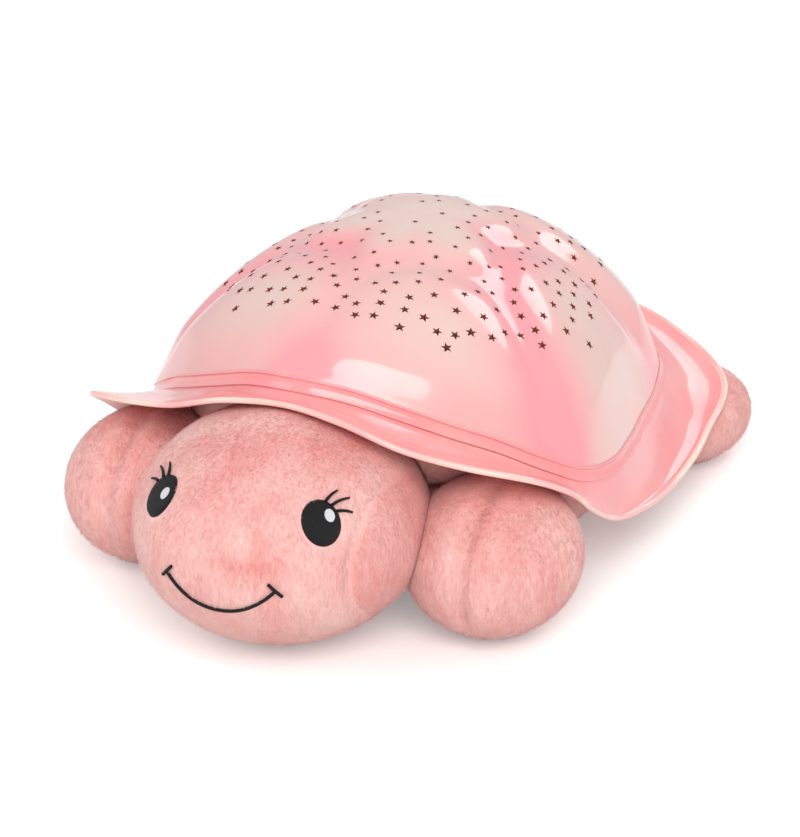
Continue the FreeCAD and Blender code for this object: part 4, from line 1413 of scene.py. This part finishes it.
def tape_material(name, color):
    """Hook and loop tape: a field of small tufts."""
    s = Shader(name)
    tufts = s.node("ShaderNodeTexVoronoi", {"Vector": s.place(), "Scale": 1300.0}).outputs["Distance"]
    s.set(Base_Color=s.mix(tufts, shade(color), shade(color, 0.6)), Roughness=0.9)
    s.bump(tufts, 0.8, 0.0006)
    return s.material


def cloth_material(name, light, deep):
    """Fine knitted cloth."""
    s = Shader(name)
    inputs = {"Vector": s.place((1.0, 0.6, 1.0)), "Scale": 420.0, "Distortion": 1.5, "Detail": 1.0}
    knit = s.node("ShaderNodeTexWave", inputs).outputs["Fac"]
    s.set(Base_Color=s.mix(s.math("MULTIPLY", knit, s.noise(90.0)), shade(light), shade(deep)), Roughness=0.9)
    s.set(Sheen_Weight=0.3, Sheen_Roughness=0.5)
    s.bump(knit, 0.5, 0.0004)
    return s.material


CREAM = (0.80, 0.61, 0.55)
SHELL_PINK = (0.93, 0.36, 0.40)
SKIRT_PINK = (0.95, 0.33, 0.35)
SKIRT_PALE = (0.95, 0.42, 0.42)
LIP_PALE = (0.95, 0.66, 0.58)
SALMON = (0.85, 0.33, 0.24)
# Brown-red of the star hole walls: painted light scattered through the plastic, and also the colour of their
# painted glow.
HOLE_GLOW_BROWN = (0.50, 0.13, 0.07)
PLUSH_LIGHT = (0.96, 0.62, 0.58)
PLUSH_DEEP = (0.84, 0.31, 0.30)
CASE_WHITE = (0.80, 0.78, 0.74)
STEEL = (0.62, 0.62, 0.64)
MOULDED = 0.4
POLISHED = 0.28

# Colour and gloss of the plastic nodes that stay.
PLASTIC_NODES = {
    "lower_case": (CASE_WHITE, MOULDED),
    "battery_door": (CASE_WHITE, MOULDED),
    "battery_tray": ((0.76, 0.74, 0.70), MOULDED),
    "hem_ring": ((0.74, 0.72, 0.68), MOULDED),
    "lamp_tower": ((0.82, 0.82, 0.80), 0.45),
    "timer_chip": ((0.03, 0.03, 0.03), MOULDED),
    "tact_switches": ((0.05, 0.05, 0.05), MOULDED),
    "capacitors": ((0.04, 0.06, 0.16), 0.3),
    "battery_leads": ((0.55, 0.05, 0.04), 0.45),
    "button_lead": ((0.45, 0.45, 0.47), 0.45),
}
BUTTON_COLORS = {
    "power": (0.92, 0.55, 0.55),
    "amber": (0.93, 0.52, 0.10),
    "green": (0.16, 0.60, 0.22),
    "blue": (0.12, 0.30, 0.75),
}
for button, button_color in BUTTON_COLORS.items():
    PLASTIC_NODES[button + "_button"] = (button_color, POLISHED)
    PLASTIC_NODES[button + "_plunger"] = ((0.08, 0.08, 0.08), MOULDED)
METAL_NODES = {
    "case_screws": STEEL,
    "board_screws": STEEL,
    "battery_door_screw": STEEL,
    "battery_contacts": (0.75, 0.73, 0.68),
}


def dress_frame(nodes):
    """Procedural finishes for the CAD nodes that stay."""
    looks = {name: plastic_material(name + "_look", *look) for name, look in PLASTIC_NODES.items()}
    looks.update({name: metal_material(name + "_look", color) for name, color in METAL_NODES.items()})
    board = board_material()
    looks.update({name: board for name in ("circuit_board", "lamp_board", "button_board")})
    looks["batteries"] = battery_material()
    looks["led_lamps"] = plastic_material("led_lamps_look", (0.95, 0.93, 0.88), 0.12, 300.0, 0.7)
    looks["hook_strip"] = tape_material("hook_strip_look", (0.80, 0.40, 0.40))
    looks["loop_strip"] = tape_material("loop_strip_look", (0.86, 0.50, 0.50))
    for name, look in looks.items():
        node = nodes[name]
        node.data.materials.clear()
        node.data.materials.append(look)


# Scene, in metres. A lamp has a name, place, size, power and colour.
FLOOR_HALF = 8.0
FLOOR_NEAR = 0.26
FLOOR_FAR = 0.7
FLOOR_FADE = (0.25, 0.9)
LAMPS = (
    ("key", (0.75, -1.25, 1.35), 1.3, 19.0, (1.0, 0.98, 0.95)),
    ("fill", (-1.2, -0.8, 0.9), 1.2, 4.0, (1.0, 1.0, 1.0)),
    ("back", (0.5, 1.4, 1.3), 1.0, 7.0, (1.0, 1.0, 1.0)),
)
LAMP_AIM = Vector((0, 0, 0.05))
WORLD_COLOR = (1.0, 0.99, 0.98)
WORLD_STRENGTH = 0.62
CAMERA_AZIMUTH = 25.3
CAMERA_ELEVATION = 24.4
CAMERA_DISTANCE = 1.2735
CAMERA_TARGET = Vector((-0.00495, 0.019, 0.035))
CAMERA_LENS = 139.98


def build_floor():
    """A white floor that keeps the object's shadow and is whiter further off."""
    mesh = bpy.data.meshes.new("floor")
    corners = [(x * FLOOR_HALF, y * FLOOR_HALF, 0) for x, y in ((-1, -1), (1, -1), (1, 1), (-1, 1))]
    mesh.from_pydata(corners, [], [(0, 1, 2, 3)])
    floor = linked("floor", mesh)
    s = Shader("floor_white")
    s.set(Base_Color=s.mix(s.noise(40.0, 2.0), (0.93, 0.93, 0.93, 1), (0.95, 0.95, 0.95, 1)), Roughness=0.9)
    seen = s.node("ShaderNodeLightPath").outputs["Is Camera Ray"]
    away = s.node("ShaderNodeVectorMath", {0: s.place()}, operation="LENGTH").outputs["Value"]
    lift = s.ramp(away, *FLOOR_FADE, FLOOR_NEAR, FLOOR_FAR)
    s.set(Emission_Color=(1, 1, 1, 1), Emission_Strength=s.math("MULTIPLY", seen, lift))
    floor.data.materials.append(s.material)


def build_lights():
    for name, spot, size, power, color in LAMPS:
        light = bpy.data.lights.new(name, "AREA")
        light.shape = "DISK"
        light.size = size
        light.energy = power
        light.color = color
        lamp = linked(name, light)
        lamp.location = spot
        lamp.rotation_euler = (LAMP_AIM - Vector(spot)).to_track_quat("-Z", "Y").to_euler()


def build_world():
    """Soft light from all round, behind a plain white that only the camera sees."""
    world = bpy.data.worlds.new("studio")
    bpy.context.scene.world = world
    world.use_nodes = True
    nodes = world.node_tree.nodes
    links = world.node_tree.links
    nodes.clear()
    mix = nodes.new("ShaderNodeMixShader")
    links.new(nodes.new("ShaderNodeLightPath").outputs["Is Camera Ray"], mix.inputs[0])
    for slot, color, strength in ((1, WORLD_COLOR, WORLD_STRENGTH), (2, (1.0, 1.0, 1.0), 1.0)):
        glow = nodes.new("ShaderNodeBackground")
        glow.inputs["Color"].default_value = shade(color)
        glow.inputs["Strength"].default_value = strength
        links.new(glow.outputs[0], mix.inputs[slot])
    links.new(mix.outputs[0], nodes.new("ShaderNodeOutputWorld").inputs["Surface"])


def build_camera():
    """The photograph's view, found from the rim, the feet and the head."""
    azimuth = math.radians(CAMERA_AZIMUTH)
    elevation = math.radians(CAMERA_ELEVATION)
    level = math.cos(elevation)
    back = Vector((math.sin(azimuth) * level, -math.cos(azimuth) * level, math.sin(elevation)))
    data = bpy.data.cameras.new("camera")
    data.lens = CAMERA_LENS
    data.sensor_width = 36.0
    data.sensor_fit = "AUTO"
    data.clip_start = 0.05
    camera = linked("camera", data)
    camera.location = CAMERA_TARGET + back * CAMERA_DISTANCE
    camera.rotation_euler = (-back).to_track_quat("-Z", "Y").to_euler()
    bpy.context.scene.camera = camera


def face_tint(p):
    """Deeper pink on the crown and the side panels, the side panels partly painted shade, and a soft patch of
    deeper pink on the snout that is painted shade of its bump.
    """
    across = abs(p[0])
    crown = CROWN_TINT * smooth_step(*CROWN_RISE, p[2]) * smooth_step(*CROWN_ACROSS, across)
    # Side panels deeper pink, partly painted shade of the head's sides.
    sides = SIDE_TINT_AND_SHADE * smooth_step(SEAM_X - 0.5, SEAM_X + 1.0, across)
    cheeks = CHEEK_TINT * smooth_step(*CHEEK_ACROSS, across) * smooth_step(SEAM_X + 0.5, SEAM_X - 0.5, across)
    # Painted shade of the snout's bump, a soft patch of deeper pink.
    nose_shade = 0.0
    if p[1] < FACE_FRONT:
        x = (p[0] - FACE_SHIFT - NOSE_SHADE_PLACE[0]) / NOSE_SHADE_HALF[0]
        z = (p[2] - NOSE_SHADE_PLACE[1]) / NOSE_SHADE_HALF[1]
        nose_shade = NOSE_SHADE_TINT * math.exp(-x ** 2 - z ** 2)
    return crown + sides + cheeks + nose_shade + FACE_TINT


def build_head(look):
    """The head with its pile, and the stitched face on it."""
    threads = {
        "dark": thread_material("thread_dark_look", (0.004, 0.004, 0.005), (0.016, 0.015, 0.018)),
        "white": thread_material("thread_white_look", (0.62, 0.62, 0.66), (0.92, 0.92, 0.96)),
    }
    head = Plush("plush_head_pile", ball_form(head_point, HEAD_LEVELS), flow_head, 11, face_tint)
    tree = head.tree()
    patches = [FacePatch(tree, FACE_SHIFT + side * EYE_PLACE[0], EYE_PLACE[1]) for _, side in SIDES]
    head.bare = face_bare(patches)
    piece = head.build(look)
    stitched = []
    for (label, side), patch in zip(SIDES, patches):
        stitched += build_eye(label, side, patch, threads)
    stitched += build_smile(tree, threads["dark"])
    for part in stitched:
        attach(part, "toy")
    return piece


def build_plush():
    look = plush_material()
    soft = [(build_head(look), "plush_head")]
    small = (
        ("front_left_foot", front_foot_point, flow_foot, 21),
        ("front_right_foot", mirrored(front_foot_point), flow_foot, 22),
        ("rear_left_foot", rear_foot_point, flow_rear, 23),
        ("rear_right_foot", mirrored(rear_foot_point), flow_rear, 24),
        ("plush_tail", tail_point, flow_rear, 25),
    )
    for name, shape, flow, seed in small:
        form = ball_form(shape, FOOT_LEVELS)
        soft.append((Plush(name + "_pile", form, flow, seed, lambda p: FOOT_TINT).build(look), name))
    soft.append((Plush("plush_body_pile", body_form(), flow_body, 26).build(look), "plush_body"))
    for name, first, last in COLLARS:
        soft.append((build_collar(name, first, last, look), None))
    for piece, node in soft:
        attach(piece, "toy")
        if node:
            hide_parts(node)


def build_belly_flap():
    flap = build_flap(cloth_material("belly_flap_look", (0.90, 0.50, 0.48), (0.72, 0.28, 0.28)))
    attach(flap, "belly_cover")
    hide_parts("belly_flap")


def build_star_shell():
    shell = build_shell([
        shell_material("shell_look", CREAM, SHELL_PINK, 0.13, airbrushed=True),
        shell_material("skirt_look", SKIRT_PINK, SKIRT_PALE, 0.13),
        shell_material("shell_inside_look", SALMON, SKIRT_PINK, 0.4),
        star_wall_material(),
        shell_material("rim_look", LIP_PALE, SKIRT_PALE, 0.16),
    ])
    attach(shell, "toy")
    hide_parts("star_shell")


build_camera()
dress_frame(frame["nodes"])
build_star_shell()
build_plush()
build_belly_flap()
build_floor()
build_lights()
build_world()
bpy.context.scene.view_settings.view_transform = "Standard"
